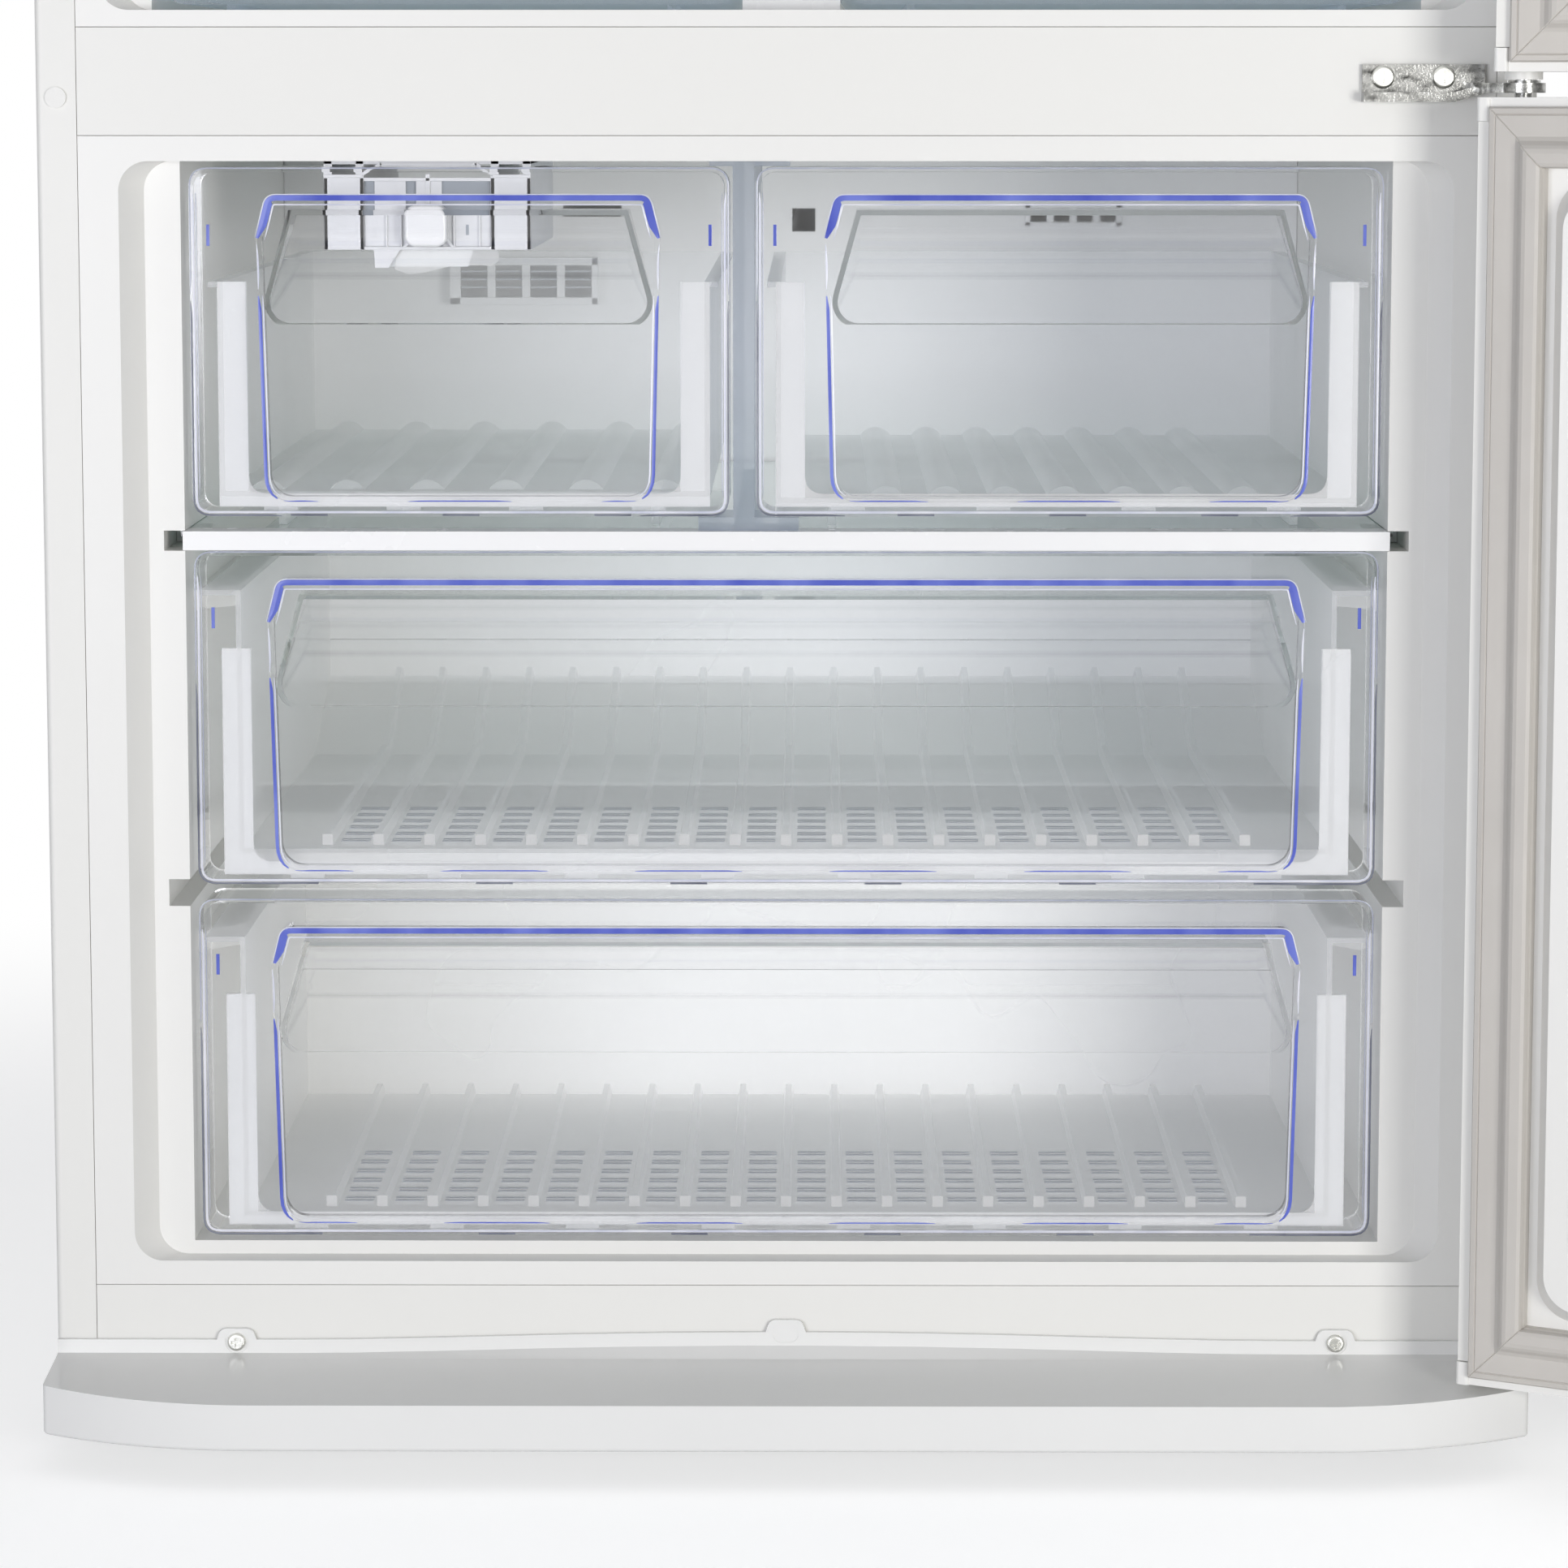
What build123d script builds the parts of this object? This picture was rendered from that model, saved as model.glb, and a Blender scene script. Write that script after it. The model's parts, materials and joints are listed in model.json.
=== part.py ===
from build123d import *
from math import radians, tan
import os

os.makedirs("parts", exist_ok=True)

# All lengths are millimetres. While modelling, the front face of the case is the plane y = 0,
# +X is to the right seen from the front, +Y goes to the back and +Z up from the floor.

# Case
CASE_W = 700.0
CASE_D = 610.0
CASE_TOP = 1890.0
CASE_BASE = 28.0
SHEET = 1.0
FLANGE_W = 19.0
CASE_EDGE_R = 3.0
FOOT_SETBACK = 55.0
FIT = 0.3
RUN = 0.05
LINER_T = 2.0

# Base pan, rails and compressor bay
PAN_TOP = 46.0
PAN_T = 2.0
RAIL_T = 1.2
RAIL_D = 25.0
BOTTOM_RAIL_TOP = 76.7
CENTRE_RAIL_H = 50.0
BAY_WALL = 62.0
BAY_RISE = 0.22

# Freezer compartment and its drawers, from the floor up
FREEZER_WALL = 65.0
REAR_WALL = 60.0
FREEZER_FLOOR = 95.0
MOUTH_STEP = 15.0
MOUTH_LAND = 17.0
MOUTH_FLARE = 10.0
MOUTH_R = 14.0
BOTTOM_FRONT_H = 164.5
MIDDLE_FRONT_H = 160.4
UPPER_FRONT_H = 165.0
DRAWER_GAP = 6.8
SHELF_GAP = 0.6
SHELF_H = 9.0
SHELF_GLASS_T = 4.0
CEILING_GAP = 3.0
LIP_H = 12.0
SLOT_D = 10.0
HUMP_SLOPE = 19.0

# Fridge compartment
FRIDGE_WALL = 53.0
FRIDGE_LIP = 8.0
FRIDGE_TOP_WALL = 45.0
CRISPER_H = 182.0
SHELF_PITCH = 225.0
SHELF_COUNT = 3
SHELF_SETBACK = 110.0
SHELF_REAR_GAP = 110.0

# Drawer fronts and tubs
FRONT_Y = 18.0
FRONT_T = 2.5
FRONT_DEPTH = 30.0
FRONT_R = 9.0
PANEL_RAISE = 8.0
PANEL_SIDE_UPPER = 32.4
PANEL_SIDE_WIDE = 35.6
PANEL_HEAD = 13.0
PANEL_FOOT = 7.5
GRIP_BAR_H = 20.0
POCKET_H = 40.0
POCKET_DEPTH = 18.0
POCKET_HOOK = 13.0
TUB_T = 2.5
TUB_REAR_GAP = 160.0
STRIP_W = 14.0
RUNNER_INSET = 25.0
RUNNER_T = 4.0
FLOOR_RAISE = 17.0
RIM_BELOW_FRONT = 21.5
LEDGE_H = 10.0
LEDGE_W = 19.0
RIB_COUNT = 19
RIB_BASE = 5.6
RIB_TOP = 3.1
RIB_H = 5.6
SLOT_ROWS = 6
SLOT_PITCH = 20.8
SLOT_L = 14.0
SLOT_W = 2.5
HUMP_RIB_PITCH = 28.4
WIDE_RIB_PITCH = 38.0
HUMP_RIB_W = 16.5
HUMP_RIB_H = 4.5

# Divider between the upper drawers and the ice maker beside it
DIVIDER_X = -20.0
DIVIDER_T = 10.0
ICE_INSET = 113.5
ICE_W = 99.0
ICE_TRAY_W = 61.0
ICE_H = 43.0
ICE_LENGTH = 190.0
ICE_SETBACK = 52.0

# Doors
DOOR_GAP = 12.0
DOOR_EDGE = 45.0
DOOR_BOW = 29.0
BOW_RUN = 100.0
DOOR_CORNER_R = 8.0
DOOR_SPLIT = 11.6
CAP_H = 11.0
DOOR_BOTTOM = 44.2
DOOR_TOP_GAP = 3.0
DOOR_RETURN = 12.0
GASKET_INSET_X = 6.0
GASKET_INSET_Z = 4.0
GASKET_W = 28.0
DYKE_H = 11.0
LOWER_OPEN = 152.0
UPPER_OPEN = 170.0
BIN_COUNT = 3
BIN_H = 90.0
BIN_REACH = 95.0
BIN_INSET = 88.0
HANDLE_R = 11.0
HANDLE_LENGTH = 330.0

# Hinges and fasteners
PIN_INSET = 12.0
PIN_AHEAD = 38.0
PIN_R = 4.0
HINGE_EYE_R = 8.5
HINGE_PLATE = 3.0
BUSH_R = 8.7
SCREW_HEAD_R = 5.4
SCREW_HEAD_H = 2.8
SCREW_R = 2.2
KICK_SCREW_INSET = 86.5
KICK_SCREW_Z = 49.5

# Kick plate
KICK_EDGE = 51.0
KICK_TOP = 50.5
KICK_LIP = 6.5
KICK_HUMP = 4.0
KICK_DIP = 43.2
KICK_FRONT_TOP = 36.9
KICK_REACH = 120.0
KICK_CORNER_R = 4.0
KICK_BOTTOM = 17.0
KICK_T = 2.5

# Feet, rollers and cooling
FOOT_INSET = 80.0
FOOT_R = 20.0
STEM_R = 5.0
ROLLER_INSET = 60.0
ROLLER_R = 20.0
ROLLER_W = 18.0
ROLLER_FROM_BACK = 50.0

# Levels and places that follow from the sizes above
HALF = CASE_W / 2
INSIDE = HALF - SHEET - FIT
LINER_EDGE = HALF - FLANGE_W - FIT
FREEZER_HALF = HALF - FREEZER_WALL
FRIDGE_HALF = HALF - FRIDGE_WALL
LINER_BACK = CASE_D - REAR_WALL
TUB_BACK = CASE_D - TUB_REAR_GAP
SHELF_END = LINER_BACK - SHELF_REAR_GAP
FOOT_X = HALF - FOOT_INSET
ROLLER_X = HALF - ROLLER_INSET
KICK_SCREW_X = HALF - KICK_SCREW_INSET
ICE_X = ICE_INSET - FREEZER_HALF
RIB_PITCH = (2 * FREEZER_HALF - 129.0) / (RIB_COUNT - 1)
BOTTOM_FRONT_Z = FREEZER_FLOOR + 2.0
MIDDLE_FRONT_Z = BOTTOM_FRONT_Z + BOTTOM_FRONT_H + DRAWER_GAP
SHELF_Z = MIDDLE_FRONT_Z + MIDDLE_FRONT_H + SHELF_GAP
SHELF_TOP = SHELF_Z + SHELF_H
UPPER_FRONT_Z = SHELF_TOP + DRAWER_GAP
FREEZER_CEILING = UPPER_FRONT_Z + UPPER_FRONT_H + CEILING_GAP
CENTRE_RAIL_Z = FREEZER_CEILING + LIP_H
CENTRE_RAIL_TOP = CENTRE_RAIL_Z + CENTRE_RAIL_H
FRIDGE_FLOOR = CENTRE_RAIL_TOP + FRIDGE_LIP
FRIDGE_CEILING = CASE_TOP - FRIDGE_TOP_WALL
CRISPER_Z = FRIDGE_FLOOR + 3.0
CRISPER_TOP = CRISPER_Z + CRISPER_H
CRISPER_SHELF_Z = CRISPER_TOP + LEDGE_H + 3.0
SPLIT_Z = CENTRE_RAIL_Z + 0.47 * CENTRE_RAIL_H
LOWER_DOOR_TOP = SPLIT_Z - DOOR_SPLIT / 2
UPPER_DOOR_BOTTOM = SPLIT_Z + DOOR_SPLIT / 2
UPPER_DOOR_TOP = CASE_TOP - DOOR_TOP_GAP
PIN_X = HALF - PIN_INSET
PIN_Y = -PIN_AHEAD
DOOR_FRONT_EDGE = -DOOR_GAP - DOOR_EDGE
DOOR_FRONT = DOOR_FRONT_EDGE - DOOR_BOW
BOTTOM_TUB_FLOOR = BOTTOM_FRONT_Z + FLOOR_RAISE - 6.0
MIDDLE_TUB_FLOOR = MIDDLE_FRONT_Z + FLOOR_RAISE
BOTTOM_TUB_BACK = TUB_BACK - 147.0
TUB_BEND = TUB_BACK - 95.0
HUMP_Y = BOTTOM_TUB_BACK + 15.0
HUMP_TOP = MIDDLE_TUB_FLOOR - TUB_T - 10.0
HUMP_EASE = 18.0
HUMP_FLAT = TUB_BEND + 7.0
COVER_Y = TUB_BACK + 20.0
HUMP_BACK = HUMP_TOP + (COVER_Y - HUMP_FLAT) * tan(radians(HUMP_SLOPE))
BAY_Y = HUMP_Y + BAY_WALL
BAY_LOW = HUMP_TOP - 58.0
BAY_HIGH = BAY_LOW + (CASE_D - BAY_Y) * BAY_RISE
TUB_FRONT = FRONT_Y + FRONT_T + FIT
BOTTOM_RIM = BOTTOM_FRONT_Z + BOTTOM_FRONT_H - RIM_BELOW_FRONT + TUB_T
MIDDLE_RIM = MIDDLE_FRONT_Z + MIDDLE_FRONT_H - RIM_BELOW_FRONT + TUB_T
ICE_AXIS_Z = FREEZER_CEILING - ICE_H + 11.5
UPPER_RIM = FREEZER_CEILING - ICE_H - 14.0
UPPER_TUB_FLOOR = SHELF_TOP + 15.5
FAN_X = 0.0
FAN_Z = FREEZER_CEILING - 75.0
FRONT_EDGE = FREEZER_HALF - 3.5
LEFT_END = DIVIDER_X - DIVIDER_T / 2 - 1.7
RIGHT_START = DIVIDER_X + DIVIDER_T / 2 + 0.8
UPPER_FRONT_TOP = UPPER_FRONT_Z + UPPER_FRONT_H
MIDDLE_FRONT_TOP = MIDDLE_FRONT_Z + MIDDLE_FRONT_H
BOTTOM_FRONT_TOP = BOTTOM_FRONT_Z + BOTTOM_FRONT_H


def box(x0, x1, y0, y1, z0, z1):
    """Block between two corners."""
    middle = Pos((x0 + x1) / 2, (y0 + y1) / 2, (z0 + z1) / 2)
    return middle * Box(x1 - x0, y1 - y0, z1 - z0)


def along_x(face, x0, x1):
    """Side profile drawn as (y, z), extruded from x0 to x1."""
    return extrude(Plane.YZ.offset(x0) * face, x1 - x0, dir=(1, 0, 0))


def along_y(face, y0, y1):
    """Front profile drawn as (x, z), extruded from y0 to y1."""
    return extrude(Plane.XZ.offset(-y0) * face, y1 - y0, dir=(0, 1, 0))


def along_z(face, z0, z1):
    """Plan drawn as (x, y), extruded from z0 to z1."""
    return extrude(Plane.XY.offset(z0) * face, z1 - z0, dir=(0, 0, 1))


def polygon(*points):
    return Polygon(*points, align=None)


def rounded(x0, x1, z0, z1, r):
    return Pos((x0 + x1) / 2, (z0 + z1) / 2) * RectangleRounded(x1 - x0, z1 - z0, r)


def rod_x(x0, x1, y, z, r):
    return Pos((x0 + x1) / 2, y, z) * Rot(0, 90, 0) * Cylinder(r, x1 - x0)


def rod_y(y0, y1, x, z, r):
    return Pos(x, (y0 + y1) / 2, z) * Rot(90, 0, 0) * Cylinder(r, y1 - y0)


def rod_z(z0, z1, x, y, r):
    return Pos(x, y, (z0 + z1) / 2) * Cylinder(r, z1 - z0)


def mirrored(shape):
    return mirror(shape, about=Plane.YZ)


def save(name, *solids):
    """Move the part so that the front feet stand at the origin, and write it."""
    moved = [Pos(0, -FOOT_SETBACK, 0) * s for solid in solids for s in solid.solids()]
    export_step(Compound(moved) if len(moved) > 1 else moved[0], f"parts/{name}.step")


def lofted(z_mid, low, high):
    """Rounded block that narrows from the low section to the high one, each (y, half, height, r)."""
    sections = [
        Plane.XZ.offset(-y) * Pos(0, z_mid) * RectangleRounded(2 * half, height, r)
        for y, half, height, r in (low, high)
    ]
    return loft(sections)


# Case


def plug_holes():
    """Round holes left by the hinges of the other side: centre, and the way out of the sheet."""
    spare = HALF - FLANGE_W / 2
    return [
        (-spare, 0.0, CENTRE_RAIL_Z + 0.35 * CENTRE_RAIL_H, "front"),
        (-spare, 40.0, CASE_TOP, "top"),
        (-spare + 45.0, 40.0, CASE_TOP, "top"),
    ]


PLUG_R = 3.9
TOP_SCREWS = [(PIN_X - 44.0, 30.0), (PIN_X - 12.0, 48.0)]
BOTTOM_SCREWS = [(PIN_X - 36.0, 30.0), (PIN_X - 8.0, 48.0)]
MIDDLE_SCREW_X = [HALF - 72.5, HALF - 44.3]
MIDDLE_SCREW_Z = SPLIT_Z + 3.5


def case_block(inset):
    """Case volume with rounded front and top edges, shrunk by the sheet thickness."""
    half = HALF - inset
    top = CASE_TOP - inset
    body = box(-half, half, inset, CASE_D + inset, CASE_BASE - inset, top)
    sides = body.edges().filter_by(Axis.Z).filter_by_position(Axis.Y, inset - 0.1, inset + 0.1)
    head = body.edges().filter_by_position(Axis.Z, top - 0.1, top + 0.1)
    front = head.filter_by(Axis.X).filter_by_position(Axis.Y, inset - 0.1, inset + 0.1)
    return fillet(sides + front + head.filter_by(Axis.Y), CASE_EDGE_R - inset)


def outer_case():
    """Steel wrap: two sides and a top, with a narrow flange folded in round the front."""
    body = case_block(0) - case_block(SHEET)
    inner = HALF - FLANGE_W
    body -= box(-inner, inner, -1, SHEET + 1, CASE_BASE - 1, CASE_TOP - FLANGE_W)
    for x, y, z, way in plug_holes():
        if way == "front":
            body -= rod_y(-1, SHEET + 1, x, z, PLUG_R)
        else:
            body -= rod_z(z - 3, z + 1, x, y, PLUG_R)
    for x, y in TOP_SCREWS:
        body -= rod_z(CASE_TOP - SHEET - 1, CASE_TOP + 1, x, y, SCREW_R + RUN)
    return body


def hole_plugs():
    plugs = []
    head = PLUG_R + 1.0
    for x, y, z, way in plug_holes():
        if way == "front":
            plug = rod_y(-1.2, 0, x, z, head) + rod_y(0, SHEET + 0.7, x, z, PLUG_R - 0.1)
        else:
            plug = rod_z(z, z + 1.2, x, y, head) + rod_z(z - SHEET, z, x, y, PLUG_R - 0.1)
        plugs.append(plug)
    return plugs


def bay_profile():
    """Side profile of the compressor bay, open at the back and closed below by the base pan."""
    end = CASE_D + 5.0
    high = BAY_HIGH + (end - CASE_D) * BAY_RISE
    return polygon((BAY_Y, CASE_BASE), (BAY_Y, BAY_LOW), (end, high), (end, CASE_BASE))


def back_panel():
    """Rear sheet, folded forward over and in front of the compressor bay."""
    wall = box(-INSIDE, INSIDE, CASE_D - SHEET, CASE_D, BAY_HIGH, CASE_TOP - SHEET - FIT)
    fold = offset(bay_profile(), amount=SHEET, kind=Kind.INTERSECTION) - bay_profile()
    fold = along_x(fold, -INSIDE, INSIDE)
    fold &= box(-HALF, HALF, 0, CASE_D, PAN_TOP + FIT, CASE_TOP)
    return (wall + fold) & case_block(SHEET + FIT / 2)


def case_insulation():
    """Foam that fills the case between the steel and the liners."""
    foam = box(-HALF, HALF, LINER_T + FIT, CASE_D - SHEET - FIT, PAN_TOP + FIT, CASE_TOP)
    foam &= case_block(SHEET + FIT)
    grow = LINER_T + FIT
    foam -= freezer_space(grow)
    foam -= fridge_space(grow)
    foam -= along_x(offset(bay_profile(), amount=SHEET + FIT, kind=Kind.INTERSECTION), -HALF, HALF)
    for low, high in ((PAN_TOP, BOTTOM_RAIL_TOP), (CENTRE_RAIL_Z, CENTRE_RAIL_TOP)):
        foam -= box(-LINER_EDGE - FIT, LINER_EDGE + FIT, -1, RAIL_D + FIT, low - FIT, high + FIT)
    return foam


def cross_rail(low, high):
    rail = box(-LINER_EDGE, LINER_EDGE, 0, RAIL_D, low, high)
    rail -= box(-HALF, HALF, RAIL_T, RAIL_D + 1, low + RAIL_T, high - RAIL_T)
    return rail


def centre_rail():
    rail = cross_rail(CENTRE_RAIL_Z, CENTRE_RAIL_TOP)
    for x in MIDDLE_SCREW_X:
        rail -= rod_y(-1, RAIL_T + 1, x, MIDDLE_SCREW_Z, SCREW_R + RUN)
    return rail


def bottom_rail():
    rail = cross_rail(PAN_TOP + FIT, BOTTOM_RAIL_TOP)
    for x in (-KICK_SCREW_X, KICK_SCREW_X):
        rail -= rod_y(-1, RAIL_T + 1, x, KICK_SCREW_Z, 1.7 + RUN)
    return rail


def base_pan():
    """Bottom plate with side skirts, foot bosses and roller forks."""
    under = PAN_TOP - PAN_T
    front = CASE_EDGE_R + FIT
    pan = box(-INSIDE, INSIDE, front, CASE_D - SHEET, under, PAN_TOP)
    skirt = box(INSIDE - PAN_T, INSIDE, front, CASE_D - SHEET, CASE_BASE, under)
    boss = rod_z(under - 10, under, FOOT_X, FOOT_SETBACK, STEM_R + 7)
    pan += skirt + mirrored(skirt) + boss + mirrored(boss)
    y = CASE_D - ROLLER_FROM_BACK
    for side in (-1, 1):
        for ear in (-1, 1):
            x = side * ROLLER_X + ear * (ROLLER_W / 2 + 2.0)
            pan += box(x - 1.5, x + 1.5, y - 14, y + 14, ROLLER_R - 8, under)
        reach = ROLLER_W / 2 + 4
        pan += rod_x(side * ROLLER_X - reach, side * ROLLER_X + reach, y, ROLLER_R, PIN_R)
        pan -= rod_z(under - 11, PAN_TOP + 1, side * FOOT_X, FOOT_SETBACK, STEM_R + RUN)
    for x, y in BOTTOM_SCREWS:
        pan -= rod_z(under - 1, PAN_TOP + 1, x, y, SCREW_R + RUN)
    return pan


# Liners


def slot_box(grow, low, high):
    edge = FREEZER_HALF + SLOT_D + grow
    return box(-edge, edge, MOUTH_STEP - grow, TUB_BACK + 10 + grow, low - grow, high + grow)


def freezer_space(grow):
    """Room inside the freezer liner, grown all round by a wall."""
    points = [
        (0, FREEZER_FLOOR),
        (HUMP_Y, FREEZER_FLOOR),
        (HUMP_Y, HUMP_TOP - HUMP_EASE),
        (HUMP_Y + HUMP_EASE, HUMP_TOP),
        (HUMP_FLAT, HUMP_TOP),
        (COVER_Y, HUMP_BACK),
        (LINER_BACK, HUMP_BACK),
        (LINER_BACK, FREEZER_CEILING),
        (0, FREEZER_CEILING),
    ]
    side = offset(polygon(*points), amount=grow, kind=Kind.INTERSECTION) if grow else polygon(*points)
    edge = FREEZER_HALF + grow
    space = along_x(side, -edge, edge) & box(-HALF, HALF, 0, CASE_D, 0, CASE_TOP)
    back = space.edges().filter_by(Axis.Z).filter_by_position(Axis.Y, LINER_BACK - 1, CASE_D)
    space = fillet(back, MOUTH_R)
    low = FREEZER_FLOOR - MOUTH_FLARE * 0.65
    height = FREEZER_CEILING - low + 2 * grow
    inner = FREEZER_HALF + MOUTH_LAND + grow
    outer = (0, inner + MOUTH_FLARE, height, MOUTH_R)
    step = (MOUTH_STEP + grow, inner, height, MOUTH_R)
    space += lofted((low + FREEZER_CEILING) / 2, outer, step)
    space += slot_box(grow, SHELF_Z - FIT, SHELF_TOP + FIT)
    space += slot_box(grow, MIDDLE_FRONT_Z - 10.0, MIDDLE_FRONT_Z + 3.0)
    return space


def ledge(half, width, y0, y1, top):
    """Tapered runner ledge on the right-hand wall of a liner."""
    plan = polygon((half + 1, y0), (half - width, y0 + 1.2 * width), (half - width, y1), (half + 1, y1))
    return along_z(plan, top - LEDGE_H, top)


def freezer_liner():
    grown = freezer_space(LINER_T)
    flange = box(-LINER_EDGE, LINER_EDGE, 0, LINER_T, BOTTOM_RAIL_TOP + FIT, CENTRE_RAIL_Z - FIT)
    liner = flange + (grown & box(-HALF, HALF, 0, CASE_D, 0, CASE_TOP))
    liner -= freezer_space(0) + box(-FREEZER_HALF, FREEZER_HALF, -1, 1, FREEZER_FLOOR, FREEZER_CEILING)
    for top, end in ((MIDDLE_RIM, TUB_BACK + 8.0), (BOTTOM_RIM, BOTTOM_TUB_BACK)):
        rail = ledge(FREEZER_HALF, LEDGE_W, FRONT_Y + FRONT_DEPTH + 4.0, end, top - TUB_T - FIT)
        liner += rail + mirrored(rail)
    return liner


def fridge_space(grow):
    """Room inside the fridge liner, grown all round by a wall."""
    half = FRIDGE_HALF + grow
    space = box(-half, half, 0, LINER_BACK + grow, FRIDGE_FLOOR - grow, FRIDGE_CEILING + grow)
    back = space.edges().filter_by(Axis.Z).filter_by_position(Axis.Y, LINER_BACK - 1, CASE_D)
    space = fillet(back, MOUTH_R)
    height = FRIDGE_CEILING - FRIDGE_FLOOR + 2 * grow
    step = (MOUTH_STEP + grow, half + MOUTH_LAND - 4.0, height, MOUTH_R)
    outer = (0, half + MOUTH_LAND - 4.0 + MOUTH_FLARE, height, MOUTH_R)
    return space + lofted((FRIDGE_FLOOR + FRIDGE_CEILING) / 2, outer, step)


def shelf_levels():
    first = CRISPER_SHELF_Z + SHELF_PITCH
    return [first + i * SHELF_PITCH for i in range(SHELF_COUNT)]


def fridge_liner():
    flange = box(-LINER_EDGE, LINER_EDGE, 0, LINER_T, CENTRE_RAIL_TOP + FIT, CASE_TOP - FLANGE_W - FIT)
    liner = flange + fridge_space(LINER_T) - fridge_space(0)
    for level in [CRISPER_SHELF_Z] + shelf_levels():
        start = 40.0 if level == CRISPER_SHELF_Z else SHELF_SETBACK
        rail = ledge(FRIDGE_HALF, 10.0, start, SHELF_END, level)
        liner += rail + mirrored(rail)
    return liner


# Kick plate


def bowed(half, back, edge, bow, corner):
    """Plan with a flat front that curves back towards both ends."""
    front = edge - bow
    flat = half - BOW_RUN
    lines = [
        Line((half, back), (-half, back)),
        Line((-half, back), (-half, edge)),
        TangentArc((-flat, front), (-half, edge), tangent=(-1, 0)),
        Line((-flat, front), (flat, front)),
        TangentArc((flat, front), (half, edge), tangent=(1, 0)),
        Line((half, edge), (half, back)),
    ]
    face = make_face(lines)
    ends = face.vertices().filter_by_position(Axis.Y, edge - 0.1, edge + 0.1)
    return fillet(ends, corner)


def hump(low, rise):
    """Line across the kick plate that swells by rise in the middle."""
    rest = KICK_SCREW_X - 25.0
    points = [(-CASE_W, low), (-rest, low), (-rest / 2, low + 0.6 * rise), (0, low + rise)]
    return points + [(-x, z) for x, z in reversed(points[:-1])]


def above_line(points):
    """Front profile of everything over a soft line."""
    soft = Spline(*[(x, z) for x, z in points[1:-1]], tangents=[(1, 0), (1, 0)])
    (x0, z0), (x1, z1) = points[0], points[-1]
    left, right = points[1], points[-2]
    edges = [Line((x0, z0), left), soft, Line(right, (x1, z1)), Line((x1, z1), (x1, CASE_TOP))]
    return make_face(edges + [Line((x1, CASE_TOP), (x0, CASE_TOP)), Line((x0, CASE_TOP), (x0, z0))])


def above_slope(drop):
    """Everything over the top of the kick plate, which dips under the door and falls to the front."""
    near = Plane.XZ.offset(KICK_T + FIT) * above_line(hump(KICK_TOP - KICK_LIP - drop, KICK_HUMP))
    under = Plane.XZ.offset(DOOR_GAP - 1.0) * above_line(hump(KICK_DIP - drop, 0.01))
    far = Plane.XZ.offset(KICK_REACH) * above_line(hump(KICK_FRONT_TOP - drop, 0.01))
    return loft([near, under], ruled=True) + loft([under, far], ruled=True)


def screw_tab(x, low, high):
    """Tab that rises from the lip round a screw."""
    face = polygon((x - 12, low), (x + 12, low), (x + 7.5, high), (x - 7.5, high))
    top = face.vertices().filter_by_position(Axis.Y, high - 0.1, high + 0.1)
    return along_y(fillet(top, 4.0), -KICK_T - FIT, -FIT)


def kick_plate():
    """Moulded plinth: upright lip with screw tabs, sloping top and bowed front, open below and behind."""
    half = HALF - 0.5
    high = KICK_TOP + KICK_HUMP
    plan = bowed(half, -FIT, -KICK_EDGE, DOOR_BOW, KICK_CORNER_R)
    body = along_z(plan, KICK_BOTTOM, high) - above_slope(0)
    body -= along_y(above_line(hump(KICK_TOP, KICK_HUMP)), -KICK_T - FIT - 1, 1)
    lower = body.edges().filter_by_position(Axis.Z, KICK_BOTTOM - 0.1, KICK_BOTTOM + 0.1)
    body = fillet(lower.filter_by_position(Axis.Y, -500, -5), 2.0)
    hollow = bowed(half - KICK_T, 5.0, -KICK_EDGE + KICK_T, DOOR_BOW, KICK_CORNER_R - KICK_T)
    room = along_z(hollow, KICK_BOTTOM - 1, CASE_TOP) - above_slope(KICK_T)
    room -= box(-HALF, HALF, -KICK_T - FIT, 10, KICK_TOP - KICK_LIP - KICK_T, CASE_TOP)
    body -= room
    low = KICK_TOP - KICK_LIP
    body += screw_tab(-KICK_SCREW_X, low, KICK_TOP + 5.3)
    body += screw_tab(0, low + KICK_HUMP, KICK_TOP + KICK_HUMP + 6.0)
    body += screw_tab(KICK_SCREW_X, low, KICK_TOP + 5.3)
    oval = along_y(rounded(-6, 6, low + 5.5, low + 13.5, 3.9), -KICK_T - FIT - 1, -KICK_T - FIT + 0.4)
    body -= oval
    for x in (-KICK_SCREW_X, KICK_SCREW_X):
        body -= rod_y(-10, 1, x, KICK_SCREW_Z, 1.7 + RUN)
        body -= rod_y(-10, -KICK_T - FIT + 0.4, x, KICK_SCREW_Z, 5.6)
    return body - rod_z(20, KICK_TOP, PIN_X, PIN_Y, BUSH_R + 0.9)


# Hinges and fasteners


def screw(head_r, head_h, shank_r, shank):
    """Pan-head screw with a cross recess, head up, standing on z = 0."""
    head = rod_z(0, head_h, 0, 0, head_r)
    head = fillet(head.edges().group_by(Axis.Z)[-1], head_h * 0.55)
    arm = head_r * 0.55
    for turn in (0, 90):
        head -= Rot(0, 0, turn) * box(-arm, arm, -0.6, 0.6, head_h * 0.45, head_h + 1)
    return head + rod_z(-shank, 0, 0, 0, shank_r)


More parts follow.
